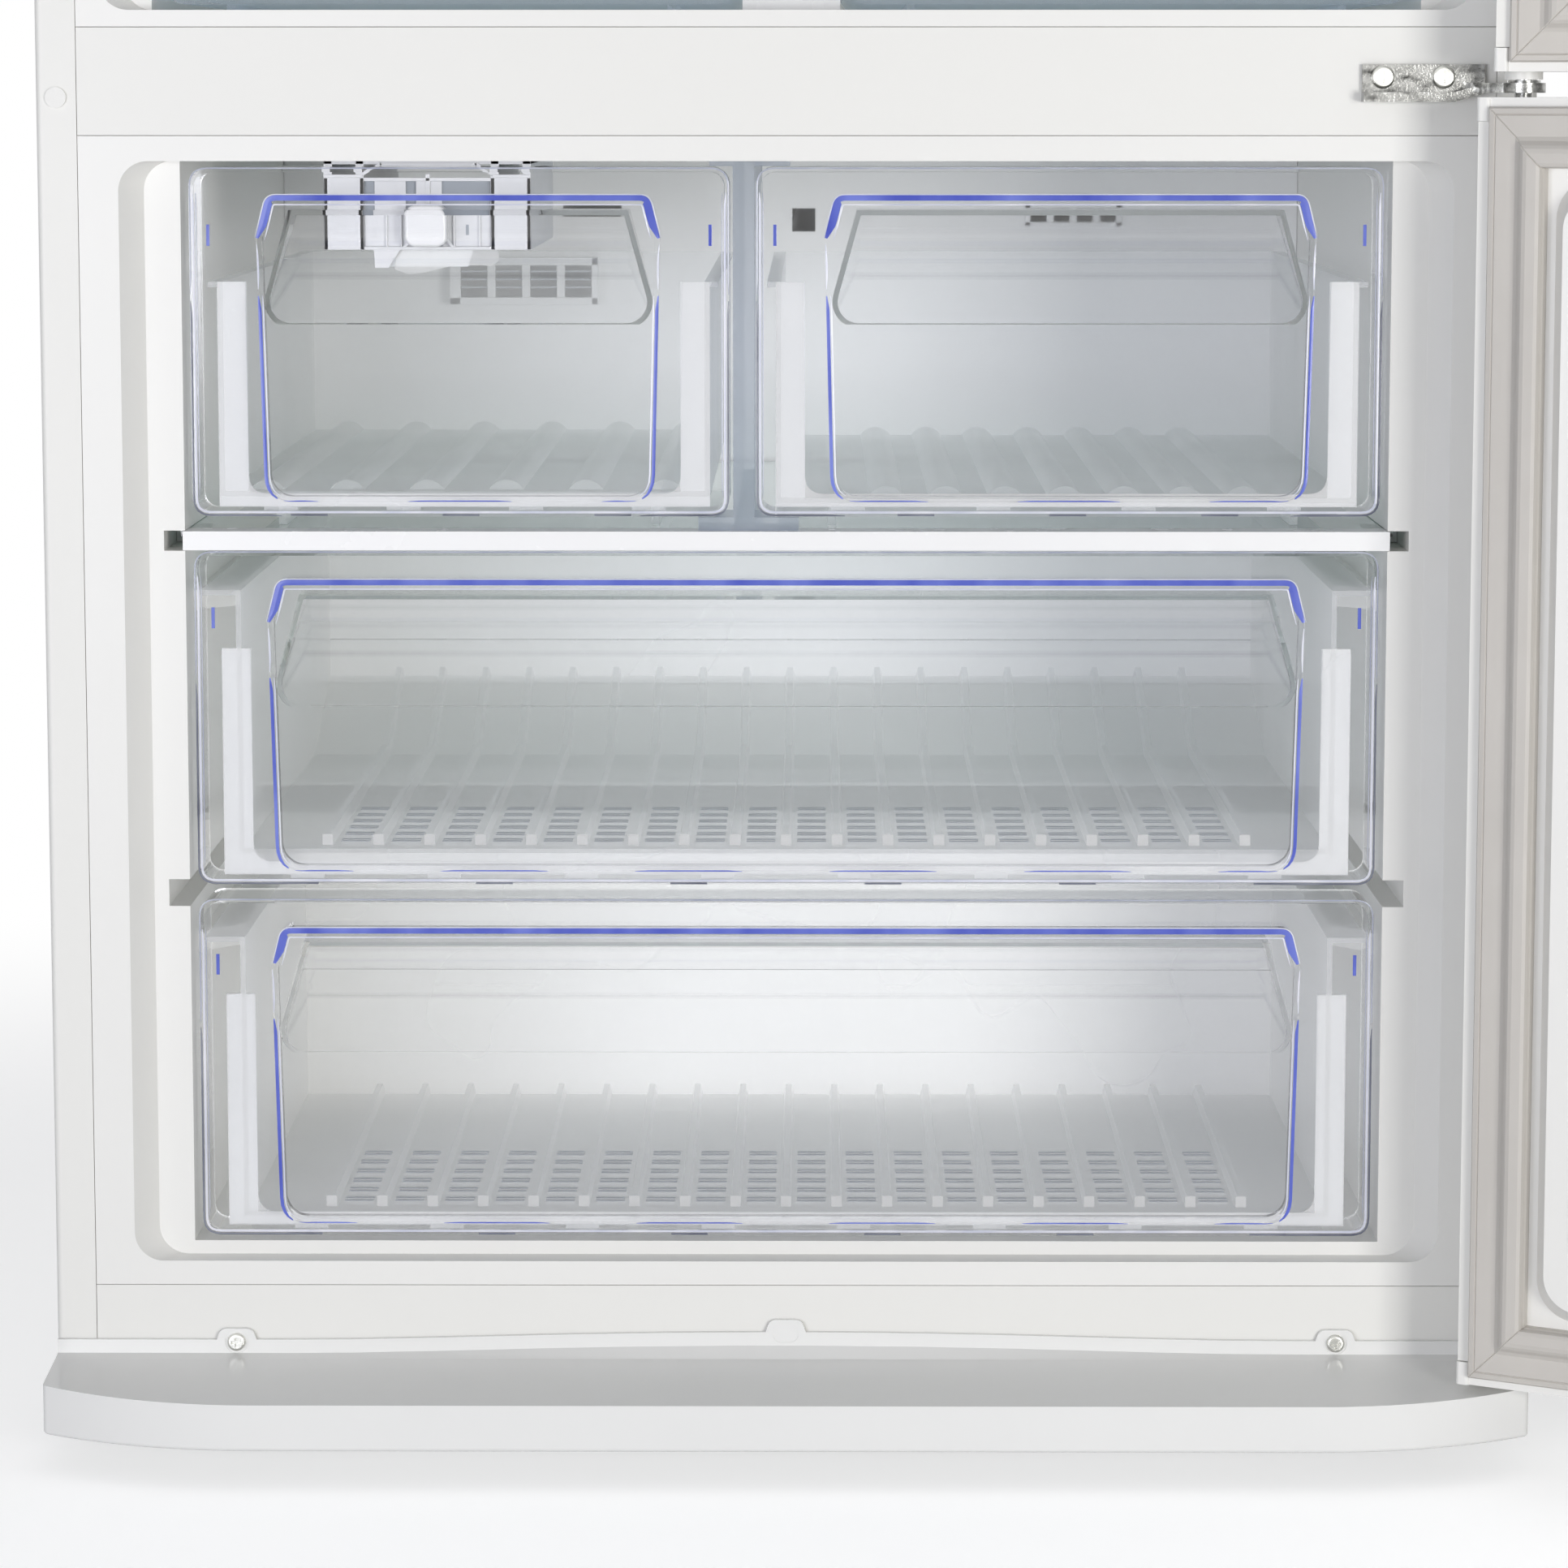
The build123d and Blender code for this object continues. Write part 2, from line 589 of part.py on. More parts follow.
def screws():
    """Fasteners that hold the three hinge brackets and the kick plate."""
    placed = []
    big = screw(SCREW_HEAD_R, SCREW_HEAD_H, SCREW_R, HINGE_PLATE + SHEET)
    for x, y in TOP_SCREWS:
        placed.append(Pos(x, y, CASE_TOP + HINGE_PLATE) * big)
    for x, y in BOTTOM_SCREWS:
        placed.append(Pos(x, y, PAN_TOP - PAN_T - FIT - HINGE_PLATE) * Rot(180, 0, 0) * big)
    for x in MIDDLE_SCREW_X:
        placed.append(Pos(x, -HINGE_PLATE, MIDDLE_SCREW_Z) * Rot(90, 0, 0) * big)
    small = screw(4.3, 2.4, 1.7, KICK_T + RAIL_T + 2.0)
    for x in (-KICK_SCREW_X, KICK_SCREW_X):
        placed.append(Pos(x, -KICK_T - FIT + 0.4, KICK_SCREW_Z) * Rot(90, 0, 0) * small)
    return placed


ARM_LOW = SPLIT_Z - 3.8
ARM_T = 4.5


def middle_hinge_bracket():
    """Chromed plate on the centre rail whose lower edge folds forward and kinks up to the pin."""
    left = HALF - 82.0
    right = HALF - 25.0
    lip_low = ARM_LOW - 4.2
    plate = box(left, right, -HINGE_PLATE, 0, ARM_LOW, MIDDLE_SCREW_Z + 5.8)
    lip = box(left, right - 15, -DOOR_GAP + 1, 0, lip_low, ARM_LOW + 0.3)
    low = [(right - 15, lip_low), (right, ARM_LOW)]
    kink = polygon(*low, (right, ARM_LOW + ARM_T), (right - 15, ARM_LOW + 0.3))
    arm = polygon((right - 10, 0), (right + 9, 0), (PIN_X + 10, PIN_Y), (PIN_X - 10, PIN_Y))
    bracket = plate + lip + along_y(kink, -DOOR_GAP + 1, 0) + along_z(arm, ARM_LOW, ARM_LOW + ARM_T)
    bracket += rod_z(ARM_LOW, ARM_LOW + ARM_T, PIN_X, PIN_Y, 10)
    for x in MIDDLE_SCREW_X:
        bracket -= rod_y(-10, 1, x, MIDDLE_SCREW_Z, SCREW_R + RUN)
    return bracket - rod_z(ARM_LOW - 1, ARM_LOW + ARM_T + 1, PIN_X, PIN_Y, PIN_R)


def top_hinge_bracket():
    low = CASE_TOP
    high = low + HINGE_PLATE
    x = TOP_SCREWS[0][0]
    arm = [(PIN_X + 4, 60), (PIN_X + HINGE_EYE_R, PIN_Y), (PIN_X - HINGE_EYE_R, PIN_Y)]
    plan = polygon((x - 10, 12), (x - 10, 60), *arm)
    plate = along_z(plan, low, high) + rod_z(low, high, PIN_X, PIN_Y, HINGE_EYE_R)
    for x, y in TOP_SCREWS:
        plate -= rod_z(low - 1, high + 1, x, y, SCREW_R + RUN)
    return plate - rod_z(low - 1, high + 1, PIN_X, PIN_Y, PIN_R)


BOTTOM_ARM = CASE_BASE - 1.5


def bottom_hinge_bracket():
    """Plate under the base pan that steps down and reaches forward inside the kick plate."""
    pad_top = PAN_TOP - PAN_T - FIT
    left = PIN_X - 46
    right = PIN_X + 5
    low = BOTTOM_ARM - HINGE_PLATE
    pad = box(left, right, 8, 60, pad_top - HINGE_PLATE, pad_top)
    riser = box(left, right, 5, 8, low, pad_top)
    arm = polygon((left, 8), (right, 8), (PIN_X + HINGE_EYE_R, PIN_Y), (PIN_X - HINGE_EYE_R, PIN_Y))
    eye = rod_z(low, BOTTOM_ARM, PIN_X, PIN_Y, HINGE_EYE_R)
    bracket = pad + riser + along_z(arm, low, BOTTOM_ARM) + eye
    for x, y in BOTTOM_SCREWS:
        bracket -= rod_z(0, PAN_TOP, x, y, SCREW_R + RUN)
    return bracket - rod_z(low - 1, BOTTOM_ARM + 1, PIN_X, PIN_Y, PIN_R)


def hinge_pins():
    """Bottom, middle and top pins; each is fixed in its bracket and stands in the door caps."""
    reach = CAP_H - 1.5
    bottom = rod_z(BOTTOM_ARM - HINGE_PLATE, DOOR_BOTTOM + reach, PIN_X, PIN_Y, PIN_R)
    bottom += rod_z(BOTTOM_ARM, DOOR_BOTTOM - 3.9, PIN_X, PIN_Y, BUSH_R - 2)
    middle = rod_z(LOWER_DOOR_TOP - reach, UPPER_DOOR_BOTTOM + reach, PIN_X, PIN_Y, PIN_R)
    middle += rod_z(ARM_LOW + ARM_T, UPPER_DOOR_BOTTOM - 3.9, PIN_X, PIN_Y, BUSH_R - 0.9)
    top = rod_z(UPPER_DOOR_TOP - reach, CASE_TOP + HINGE_PLATE, PIN_X, PIN_Y, PIN_R)
    top += rod_z(CASE_TOP + HINGE_PLATE, CASE_TOP + HINGE_PLATE + 2, PIN_X, PIN_Y, PIN_R + 2)
    return [bottom, middle, top]


def top_hinge_cover():
    left = TOP_SCREWS[0][0] - 20
    outer = (left, HALF - 1, PIN_Y - 17, 75)
    cover = along_z(rounded(*outer, 8), CASE_TOP, CASE_TOP + 18)
    cover = fillet(cover.edges().group_by(Axis.Z)[-1], 4)
    return cover - along_z(rounded(left + 2, HALF - 3, PIN_Y - 15, 73, 6), CASE_TOP - 1, CASE_TOP + 16)


# Doors, modelled closed and then swung open about the hinge pins


def door_plan(inset):
    back = -DOOR_GAP - inset
    edge = DOOR_FRONT_EDGE + inset
    return bowed(HALF - inset, back, edge, DOOR_BOW, DOOR_CORNER_R - inset)


def door_skin(low, high):
    """Bowed steel front with its sides folded round to the back."""
    skin = along_z(door_plan(0), low + CAP_H, high - CAP_H)
    skin -= along_z(door_plan(SHEET), low, high)
    opening = HALF - DOOR_RETURN
    return skin - box(-opening, opening, -DOOR_GAP - SHEET - 1, 0, low, high)


def door_caps(low, high):
    """End caps; the hinge pins turn in them, and a bush under each lower cap takes the weight."""
    bottom = along_z(door_plan(0), low, low + CAP_H - FIT)
    bottom += rod_z(low - 3.6, low, PIN_X, PIN_Y, BUSH_R)
    top = along_z(door_plan(0), high - CAP_H + FIT, high)
    lug = rounded(HALF - 6, HALF + 0.7, -DOOR_GAP - 6, -DOOR_GAP + 1.5, 2)
    bottom += along_z(lug, low, low + CAP_H - FIT)
    top += along_z(lug, high - CAP_H + FIT, high)
    bottom -= rod_z(low - 4, low + CAP_H - 1, PIN_X, PIN_Y, PIN_R + RUN)
    top -= rod_z(high - CAP_H + 1, high + 1, PIN_X, PIN_Y, PIN_R + RUN)
    return [bottom, top]


def liner_block(low, high, grow, height):
    """Raised middle of a door liner: a block that narrows away from the door."""
    base = GASKET_INSET_X + GASKET_W + 2.0 - grow
    half = HALF - base
    tall = high - low - 2 * (base + GASKET_INSET_Z - GASKET_INSET_X)
    section = (-DOOR_GAP - LINER_T - 1, half, tall, 20)
    end = (-DOOR_GAP + height, half - 9, tall - 18, 16)
    return lofted((low + high) / 2, section, end)


def panel_block(low, high, inset, start, end, taper, r):
    """Block between two depths whose sides keep an inset from the door's outline."""
    z_mid = (low + high) / 2
    half = HALF - inset
    tall = high - low - 2 * inset
    return lofted(z_mid, (start, half, tall, r), (end, half - taper, tall - 2 * taper, r - taper / 2))


def door_liner(low, high, recess):
    """Moulded inner face; the upper one is hollowed between two dykes that carry the bins."""
    edge = HALF - DOOR_RETURN - FIT
    base = -DOOR_GAP - LINER_T
    top = DYKE_H - DOOR_GAP
    liner = box(-edge, edge, base, -DOOR_GAP, low + CAP_H, high - CAP_H)
    liner += liner_block(low, high, 0, DYKE_H)
    liner &= box(-HALF, HALF, base, 50, low, high)
    room = liner_block(low, high, -LINER_T, DYKE_H - LINER_T)
    if recess:
        floor = -DOOR_GAP + LINER_T
        room -= panel_block(low, high, BIN_INSET - LINER_T, floor - LINER_T, DYKE_H, 0, 12)
        liner -= room + panel_block(low, high, BIN_INSET, floor, DYKE_H, 0, 12)
        for level in bin_levels():
            lug = box(HALF - BIN_INSET - 8, HALF - BIN_INSET + 1, floor, top - 3, level - 8, level)
            liner += lug + mirrored(lug)
        return liner
    liner += panel_block(low, high, 58.0, top - 1, top + 4, 4, 18)
    return liner - room - panel_block(low, high, 60.0, top - LINER_T - 1, top + 4 - LINER_T, 4, 16)


def door_foam(low, high):
    gap = SHEET + FIT
    foam = along_z(door_plan(gap), low + CAP_H + FIT, high - CAP_H - FIT)
    foam -= box(-HALF, HALF, -DOOR_GAP - LINER_T - FIT, 5, low, high)
    return foam


def door_gasket(low, high):
    """Magnetic seal: a flat base with a raised bead along its inner edge, round the whole door."""
    base = -DOOR_GAP
    rings = []
    for inset, y0, y1 in ((0, base, base + 5.0), (GASKET_W / 2, base + 5.0, -1.0)):
        width = GASKET_W - inset
        x = HALF - GASKET_INSET_X - inset
        z0 = low + GASKET_INSET_Z + inset
        z1 = high - GASKET_INSET_Z - inset
        ring = box(-x, x, y0, y1, z0, z1)
        rings.append(ring - box(-x + width, x - width, y0 - 1, y1 + 1, z0 + width, z1 - width))
    return rings[0] + rings[1]


def door_handle(z0):
    """Round bar on two posts at the opening side."""
    x = -HALF + 45.0
    face = DOOR_FRONT + 10.0
    y = face - 45.0
    bar = rod_z(z0, z0 + HANDLE_LENGTH, x, y, HANDLE_R)
    bar = fillet(bar.edges(), 4)
    for z in (z0 + 35, z0 + HANDLE_LENGTH - 35):
        bar += rod_y(y, face + 8, x, z, 7)
    return bar - along_z(door_plan(-RUN), z0, z0 + HANDLE_LENGTH)


def bin_levels():
    return [CRISPER_SHELF_Z + 40 + i * 300.0 for i in range(BIN_COUNT)]


def door_bins():
    """Open trays that sit on lugs between the dykes of the upper door."""
    half = HALF - BIN_INSET - FIT
    back = -DOOR_GAP + LINER_T + FIT
    front = back + BIN_REACH
    outer = rounded(-half, half, back, front, 14)
    inner = rounded(-half + TUB_T, half - TUB_T, back + TUB_T, front - TUB_T, 12)
    bins = []
    for level in bin_levels():
        tray = along_z(outer, level + FIT, level + FIT + BIN_H)
        bins.append(tray - along_z(inner, level + FIT + TUB_T, level + 2 * BIN_H))
    return bins


def swing(shape, angle):
    return shape.rotate(Axis((PIN_X, PIN_Y, 0), (0, 0, 1)), angle)


# Freezer drawers


def trapezoid(x, z, base, top, height):
    return polygon((x - base / 2, z), (x + base / 2, z), (x + top / 2, z + height), (x - top / 2, z + height))


def bend_rise(z, y):
    """Height at depth y of a floor that slopes up behind the bend."""
    return z + (y - TUB_BEND) * tan(radians(HUMP_SLOPE))


def rib(x, z, back, bend):
    """Floor rib running to the back, and on up the slope where the floor has one."""
    start = TUB_FRONT + 12.0
    section = Plane.XZ.offset(-start) * trapezoid(x, z - 0.5, RIB_BASE, RIB_TOP, RIB_H + 0.5)
    if bend:
        path = Polyline((x, start, z), (x, TUB_BEND, z), (x, back, bend_rise(z, back)))
        return sweep(section, path=path, transition=Transition.RIGHT)
    return extrude(section, back - start, dir=(0, 1, 0))


def round_rib(x, z, back):
    """Wide rib with a round top, as the upper tubs have."""
    start = TUB_FRONT + 14.0
    half = HUMP_RIB_W / 2
    arc = ThreePointArc((x - half, z), (x, z + HUMP_RIB_H), (x + half, z))
    under = [Line((x + half, z), (x + half, z - 0.5)), Line((x + half, z - 0.5), (x - half, z - 0.5))]
    face = make_face([arc] + under + [Line((x - half, z - 0.5), (x - half, z))])
    return along_y(face, start, back)


def tub(x0, x1, skirt, floor, rim, back, rim_out, bend=False):
    """Moulded tub, open at the top and at the front where the clear front closes it."""
    rise = bend_rise(0, back) if bend else 0.0
    under = floor - TUB_T
    corner = [(TUB_BEND, under)] if bend else []
    outer = polygon((TUB_FRONT, under), *corner, (back, under + rise), (back, rim), (TUB_FRONT, rim))
    end = back - TUB_T
    corner = [(TUB_BEND, floor)] if bend else []
    rise = bend_rise(0, end) if bend else 0.0
    near = TUB_FRONT - 1
    inner = polygon((near, floor), *corner, (end, floor + rise), (end, rim + 1), (near, rim + 1))
    body = along_x(outer, x0, x1)
    body += box(x0 - rim_out, x1 + rim_out, TUB_FRONT, back, rim - TUB_T, rim)
    body -= along_x(inner, x0 + TUB_T, x1 - TUB_T)
    return body + box(x0, x1, TUB_FRONT, TUB_FRONT + TUB_T, skirt, floor)


def strips(x0, x1, skirt, top):
    """Upright strips at the two front corners of a tub, behind the clear front."""
    left = box(x0, x0 + STRIP_W, TUB_FRONT, TUB_FRONT + TUB_T, skirt, top)
    return left + box(x1 - STRIP_W, x1, TUB_FRONT, TUB_FRONT + TUB_T, skirt, top)


def clips(x0, x1, front_z, skirt, count):
    """Small blocks under the skirt that sit on the lower edge of the clear front."""
    pitch = (x1 - x0) / count
    row = []
    for i in range(count):
        x = x0 + (i + 0.5) * pitch
        row.append(box(x - 8, x + 8, TUB_FRONT, TUB_FRONT + TUB_T, front_z + FRONT_T + FIT, skirt + 1))
    return row


def places(middle, count, pitch):
    return [middle + (i - (count - 1) / 2) * pitch for i in range(count)]


def upper_tub(x0, x1, ribs, pitch, floor):
    """Tub that slides on the shelf on two runners."""
    skirt = UPPER_FRONT_Z + FRONT_T + 2.0
    body = tub(x0, x1, skirt, floor, UPPER_RIM, TUB_BACK, 4.0) + strips(x0, x1, skirt, UPPER_RIM)
    for x in (x0 + RUNNER_INSET, x1 - RUNNER_INSET - RUNNER_T):
        body += box(x, x + RUNNER_T, FRONT_Y + FRONT_DEPTH + 2, TUB_BACK, SHELF_TOP + FIT, floor - TUB_T + 0.5)
    for x in places((x0 + x1) / 2, ribs, pitch):
        body += round_rib(x, floor, TUB_BACK - 1)
    return body + clips(x0, x1, UPPER_FRONT_Z, skirt, 4)


def floor_slots(floor):
    """Rows of narrow slots between the ribs, at the front of the floor."""
    slots = []
    for x in places(0, RIB_COUNT - 1, RIB_PITCH):
        for row in range(SLOT_ROWS):
            y = TUB_FRONT + 26.0 + row * SLOT_PITCH
            slots.append(box(x - SLOT_L / 2, x + SLOT_L / 2, y, y + SLOT_W, floor - TUB_T - 1, floor + 1))
    return slots


def wide_tub(front_z, floor, rim, back, bend=False):
    """Full-width tub hung by its rim on the ledges of the liner, with a ribbed and slotted floor."""
    half = FREEZER_HALF - LEDGE_W - 4.0
    skirt = front_z + FRONT_T + 2.0
    body = tub(-half, half, skirt, floor, rim, back, FREEZER_HALF - half - 6.5, bend)
    edge = FRONT_EDGE - 12.5
    body += strips(-edge, edge, skirt, rim - 28.0)
    for x in places(0, RIB_COUNT, RIB_PITCH):
        body += rib(x, floor, back - TUB_T + 0.1, bend)
    body += clips(-half, half, front_z, skirt, 8)
    return body - floor_slots(floor)


def panel_outline(x0, x1, z0, z1, inset):
    """Raised middle of a drawer front: leaning upper sides, small upper and large lower corners."""
    left = x0 + inset
    right = x1 - inset
    top = z1 - PANEL_HEAD - inset
    foot = z0 + PANEL_FOOT + inset
    knee = z1 - PANEL_HEAD - GRIP_BAR_H
    lower = [(left + 3, foot), (right - 3, foot)]
    face = polygon(*lower, (right, knee), (right - 5, top), (left + 5, top), (left, knee))
    low = face.vertices().filter_by_position(Axis.Y, foot - 0.1, foot + 0.1)
    face = fillet(low, 13.0 - inset)
    high = face.vertices().filter_by_position(Axis.Y, top - 0.1, top + 0.1)
    return fillet(high, 6.0 - inset)


def pocket(x0, x1, top, grow):
    """Finger pocket: its sides lean in, its back slopes away and it hooks up behind the grip bar."""
    raised = FRONT_Y - PANEL_RAISE
    low = top - POCKET_H
    high = top + POCKET_HOOK - FRONT_T
    back = FRONT_Y + POCKET_DEPTH
    slope = polygon((raised, low), (back - 9, low + 0.75 * POCKET_H), (back, high), (raised, high))
    slope = offset(slope, amount=grow, kind=Kind.INTERSECTION) if grow else slope
    lower = [(x0 + 3, low), (x1 - 3, low)]
    front = polygon(*lower, (x1 - 17, high), (x0 + 17, high))
    front = offset(front, amount=grow, kind=Kind.INTERSECTION) if grow else front
    corners = front.vertices().filter_by_position(Axis.Y, low - grow - 0.1, low - grow + 0.1)
    return along_x(slope, x0, x1) & along_y(fillet(corners, 10.0 + grow), 0, 2 * back)


def drawer_front(x0, x1, z0, z1, side):
    """Clear front: a shallow tray with a raised panel, and a finger pocket behind its grip bar."""
    left = x0 + side
    right = x1 - side
    back = FRONT_Y + FRONT_DEPTH
    raised = FRONT_Y - PANEL_RAISE
    t = FRONT_T
    body = along_y(rounded(x0, x1, z0, z1, FRONT_R), FRONT_Y, back)
    body += along_y(panel_outline(left, right, z0, z1, 0), raised, FRONT_Y + 1)
    room = along_y(rounded(x0 + t, x1 - t, z0 + t, z1 - t, FRONT_R - t), FRONT_Y + t, back + 1)
    room += along_y(panel_outline(left, right, z0, z1, t), raised + t, FRONT_Y + t + 1)
    top = z1 - PANEL_HEAD - GRIP_BAR_H
    body -= room - pocket(left, right, top, t)
    bar = box(left, right, 0, raised + t, top, z1)
    mouth = pocket(left, right, top, 0) - bar
    return body - mouth


# Freezer fittings


def shelf_frame(half, y0, y1, z0, height):
    """Moulded edge round a glass shelf, with a rebate for the pane."""
    bar = 10.0
    frame = box(-half, half, y0, y1, z0, z0 + height)
    frame -= box(-half + bar, half - bar, y0 + bar, y1 - bar, z0 - 1, z0 + height + 1)
    return frame - shelf_pane(half, y0, y1, z0, height, 0)


def shelf_pane(half, y0, y1, z0, height, gap):
    edge = 5.0 + gap
    top = z0 + height
    return box(-half + edge, half - edge, y0 + edge, y1 - edge, top - SHELF_GLASS_T, top + (0 if gap else 1))


def shelf_list():
    """Half width, front, back, underside and height of every glass shelf."""
    half = FRIDGE_HALF - FIT
    shelves = [(FREEZER_HALF + SLOT_D - FIT, 28.0, TUB_BACK + 8.0, SHELF_Z, SHELF_H)]
    shelves.append((half, 40.0, SHELF_END, CRISPER_SHELF_Z + FIT, 9.0))
    return shelves + [(half, SHELF_SETBACK, SHELF_END, level + FIT, 9.0) for level in shelf_levels()]


def freezer_shelf_frame():
    """Frame in the slots of the liner, with a thin white bar across the front."""
    half, y0, y1, z0, height = shelf_list()[0]
    inner = FREEZER_HALF + 1
    frame = shelf_frame(half, y0, y1, z0, height) - box(-HALF, HALF, 0, 60, 0, CASE_TOP)
    frame += box(-inner, inner, 14.0, 61.0, z0, z0 + height)
    frame -= box(-inner + 10, inner - 10, 36.0, 62.0, z0 - 1, z0 + height + 1)
    return frame - shelf_pane(half, y0, y1, z0, height, 0)


def crisper_frame():
    """Frame of the crisper cover on a centre leg that parts the two crispers."""
    pane = shelf_list()[1]
    leg = box(-2.5, 7.5, 46.0, SHELF_END - 8, FRIDGE_FLOOR + FIT, CRISPER_SHELF_Z + 2)
    foot = box(-20.5, 25.5, 28.0, SHELF_END - 40, FRIDGE_FLOOR + FIT, FRIDGE_FLOOR + 5)
    front = box(-2.5, 7.5, 28.0, 47.0, FRIDGE_FLOOR + FIT, CRISPER_SHELF_Z - 6)
    return shelf_frame(*pane) + leg + foot + front - shelf_pane(*pane, 0)


def shelf_frames():
    return [freezer_shelf_frame(), crisper_frame()] + [shelf_frame(*shelf) for shelf in shelf_list()[2:]]


def glass_shelves():
    return [shelf_pane(*shelf, FIT) for shelf in shelf_list()]


def freezer_divider():
    """Upright wall between the upper drawers, with a foot on the shelf and a head at the ceiling."""
    left = DIVIDER_X - DIVIDER_T / 2
    right = DIVIDER_X + DIVIDER_T / 2
    low = SHELF_TOP + FIT
    high = FREEZER_CEILING - FIT
    wall = box(left, right, 17.0, TUB_BACK - 50, low, high)
    wall += box(DIVIDER_X - 21.5, DIVIDER_X + 26.0, 17.0, 60.0, low, UPPER_FRONT_Z - FIT)
    return wall + box(DIVIDER_X - 16, DIVIDER_X + 22, 17.0, 40.0, high - 2.2, high)


def ice_maker_frame():
    """Housing under the ceiling that carries the turning ice tray."""
    left = ICE_X - ICE_W / 2
    right = ICE_X + ICE_W / 2
    high = FREEZER_CEILING - FIT
    low = high - ICE_H
    end = ICE_SETBACK + ICE_LENGTH + 10.0
    frame = box(left, right, ICE_SETBACK, end, high - 2, high)
    for x0, x1 in ((left, ICE_X - ICE_TRAY_W / 2), (ICE_X + ICE_TRAY_W / 2, right)):
        cheek = box(x0, x1, ICE_SETBACK, end, low, high)
        frame += cheek - box(x0 + 2, x1 - 2, ICE_SETBACK + 2, end - 2, low - 1, high - 2)
    half = ICE_TRAY_W / 2 + 0.5
    for y in (ICE_SETBACK, end - 3):
        frame += box(ICE_X - half, ICE_X + half, y, y + 3, low, high - 8)
    return frame - rod_y(ICE_SETBACK - 1, end + 1, ICE_X, ICE_AXIS_Z, PIN_R + RUN)


def ice_tray():
    """Tray of ice cells on two stub axles, inside the circle that it turns in."""
    y0 = ICE_SETBACK + 4.0
    y1 = ICE_SETBACK + ICE_LENGTH + 6.0
    top = ICE_AXIS_Z + 5.0
    low = ICE_AXIS_Z - 20.0
    section = polygon((ICE_X - 27, top), (ICE_X - 19, low), (ICE_X + 19, low), (ICE_X + 27, top))
    tray = along_y(section, y0, y1)
    rows = 5
    pitch = (y1 - y0 - 4) / rows
    for row in range(rows):
        for side in (-1, 1):
            y = y0 + 2 + (row + 0.5) * pitch
            cell = Pos(ICE_X + side * 12, y, top + 1) * Box(19, pitch - 3, 36)
            tray -= cell & box(-HALF, 0, 0, CASE_D, low + 3, top + 5)
    tray += rod_y(ICE_SETBACK - 4, y0 + 1, ICE_X, ICE_AXIS_Z, PIN_R)
    return tray + rod_y(y1 - 1, y1 + 4, ICE_X, ICE_AXIS_Z, PIN_R)


def ice_tray_knob():
    face = rounded(ICE_X - 10, ICE_X + 10, ICE_AXIS_Z - 10, ICE_AXIS_Z + 10, 5)
    knob = along_y(face, ICE_SETBACK - 12, ICE_SETBACK - 1)
    knob = fillet(knob.edges().group_by(Axis.Y)[0], 1.5)
    return knob - rod_y(ICE_SETBACK - 8, ICE_SETBACK, ICE_X, ICE_AXIS_Z, PIN_R + RUN)


def evaporator_cover():
    """Rear wall of the freezer with its air outlets."""
    edge = FREEZER_HALF - FIT
    high = FREEZER_CEILING - FIT
    cover = box(-edge, edge, COVER_Y, COVER_Y + 3, HUMP_BACK + FIT, high)
    cover += box(-191, -108, COVER_Y - 12, COVER_Y + 1, high - 87, high - 61)
    cover -= box(-189, -110, COVER_Y - 10, COVER_Y + 4, high - 85, high - 63)
    for i in range(4):
        x = -185 + i * 19.5
        cover -= box(x, x + 15, COVER_Y - 13, COVER_Y - 9, high - 83, high - 65)
    for i in range(4):
        x = 135 + i * 13.0
        cover -= box(x, x + 9, COVER_Y - 1, COVER_Y + 4, high - 41, high - 33)
    cover -= box(-128, -95, COVER_Y - 1, COVER_Y + 4, high - 38, high - 31)
    return cover - box(1, 14, COVER_Y - 1, COVER_Y + 4, high - 46, high - 33)


def evaporator():
    """Finned coil behind the cover, standing on its two end plates."""
    low = HUMP_BACK + FIT
    y0 = COVER_Y + 10
    y1 = LINER_BACK - 6
    half = FREEZER_HALF - 70.0
    high = low + 150
    coil = box(-half - 2, -half, y0, y1, low, high) + box(half, half + 2, y0, y1, low, high)
    for i in range(13):
        x = -half + 33 + i * (2 * half - 66) / 12
        coil += box(x - 0.5, x + 0.5, y0, y1, low + 14, high - 4)
    for level in range(4):
        for y in (y0 + 16, y1 - 16):
            coil += rod_x(-half - 3, half + 3, y, low + 30 + level * 34, 4)
    return coil


def fan_motor():
    """Motor on a three-legged bracket against the rear of the liner."""
    y0 = LINER_BACK - 38
    motor = rod_y(y0, LINER_BACK - 8, FAN_X, FAN_Z, 17)
    motor += rod_y(y0 - 14, y0, FAN_X, FAN_Z, 2)
    for turn in (90, 210, 330):
        leg = box(0, 50, LINER_BACK - 12, LINER_BACK - 8, -4, 4)
        leg += box(42, 50, LINER_BACK - 12, LINER_BACK - FIT, -4, 4)
        motor += Pos(FAN_X, 0, FAN_Z) * Rot(0, turn, 0) * leg
    return motor


def fan_blade():
    """Five pitched blades round a hub on the motor shaft."""
    y1 = LINER_BACK - 40
    hub = rod_y(y1 - 14, y1, 0, 0, 10)
    for i in range(5):
        blade = Pos(27, y1 - 7, 0) * Rot(28, 0, 0) * Box(36, 2, 22)
        hub += Rot(0, i * 72, 0) * blade
    return Pos(FAN_X, 0, FAN_Z) * (hub - rod_y(y1 - 12, y1 + 1, 0, 0, 2 + RUN))


# Fridge fittings


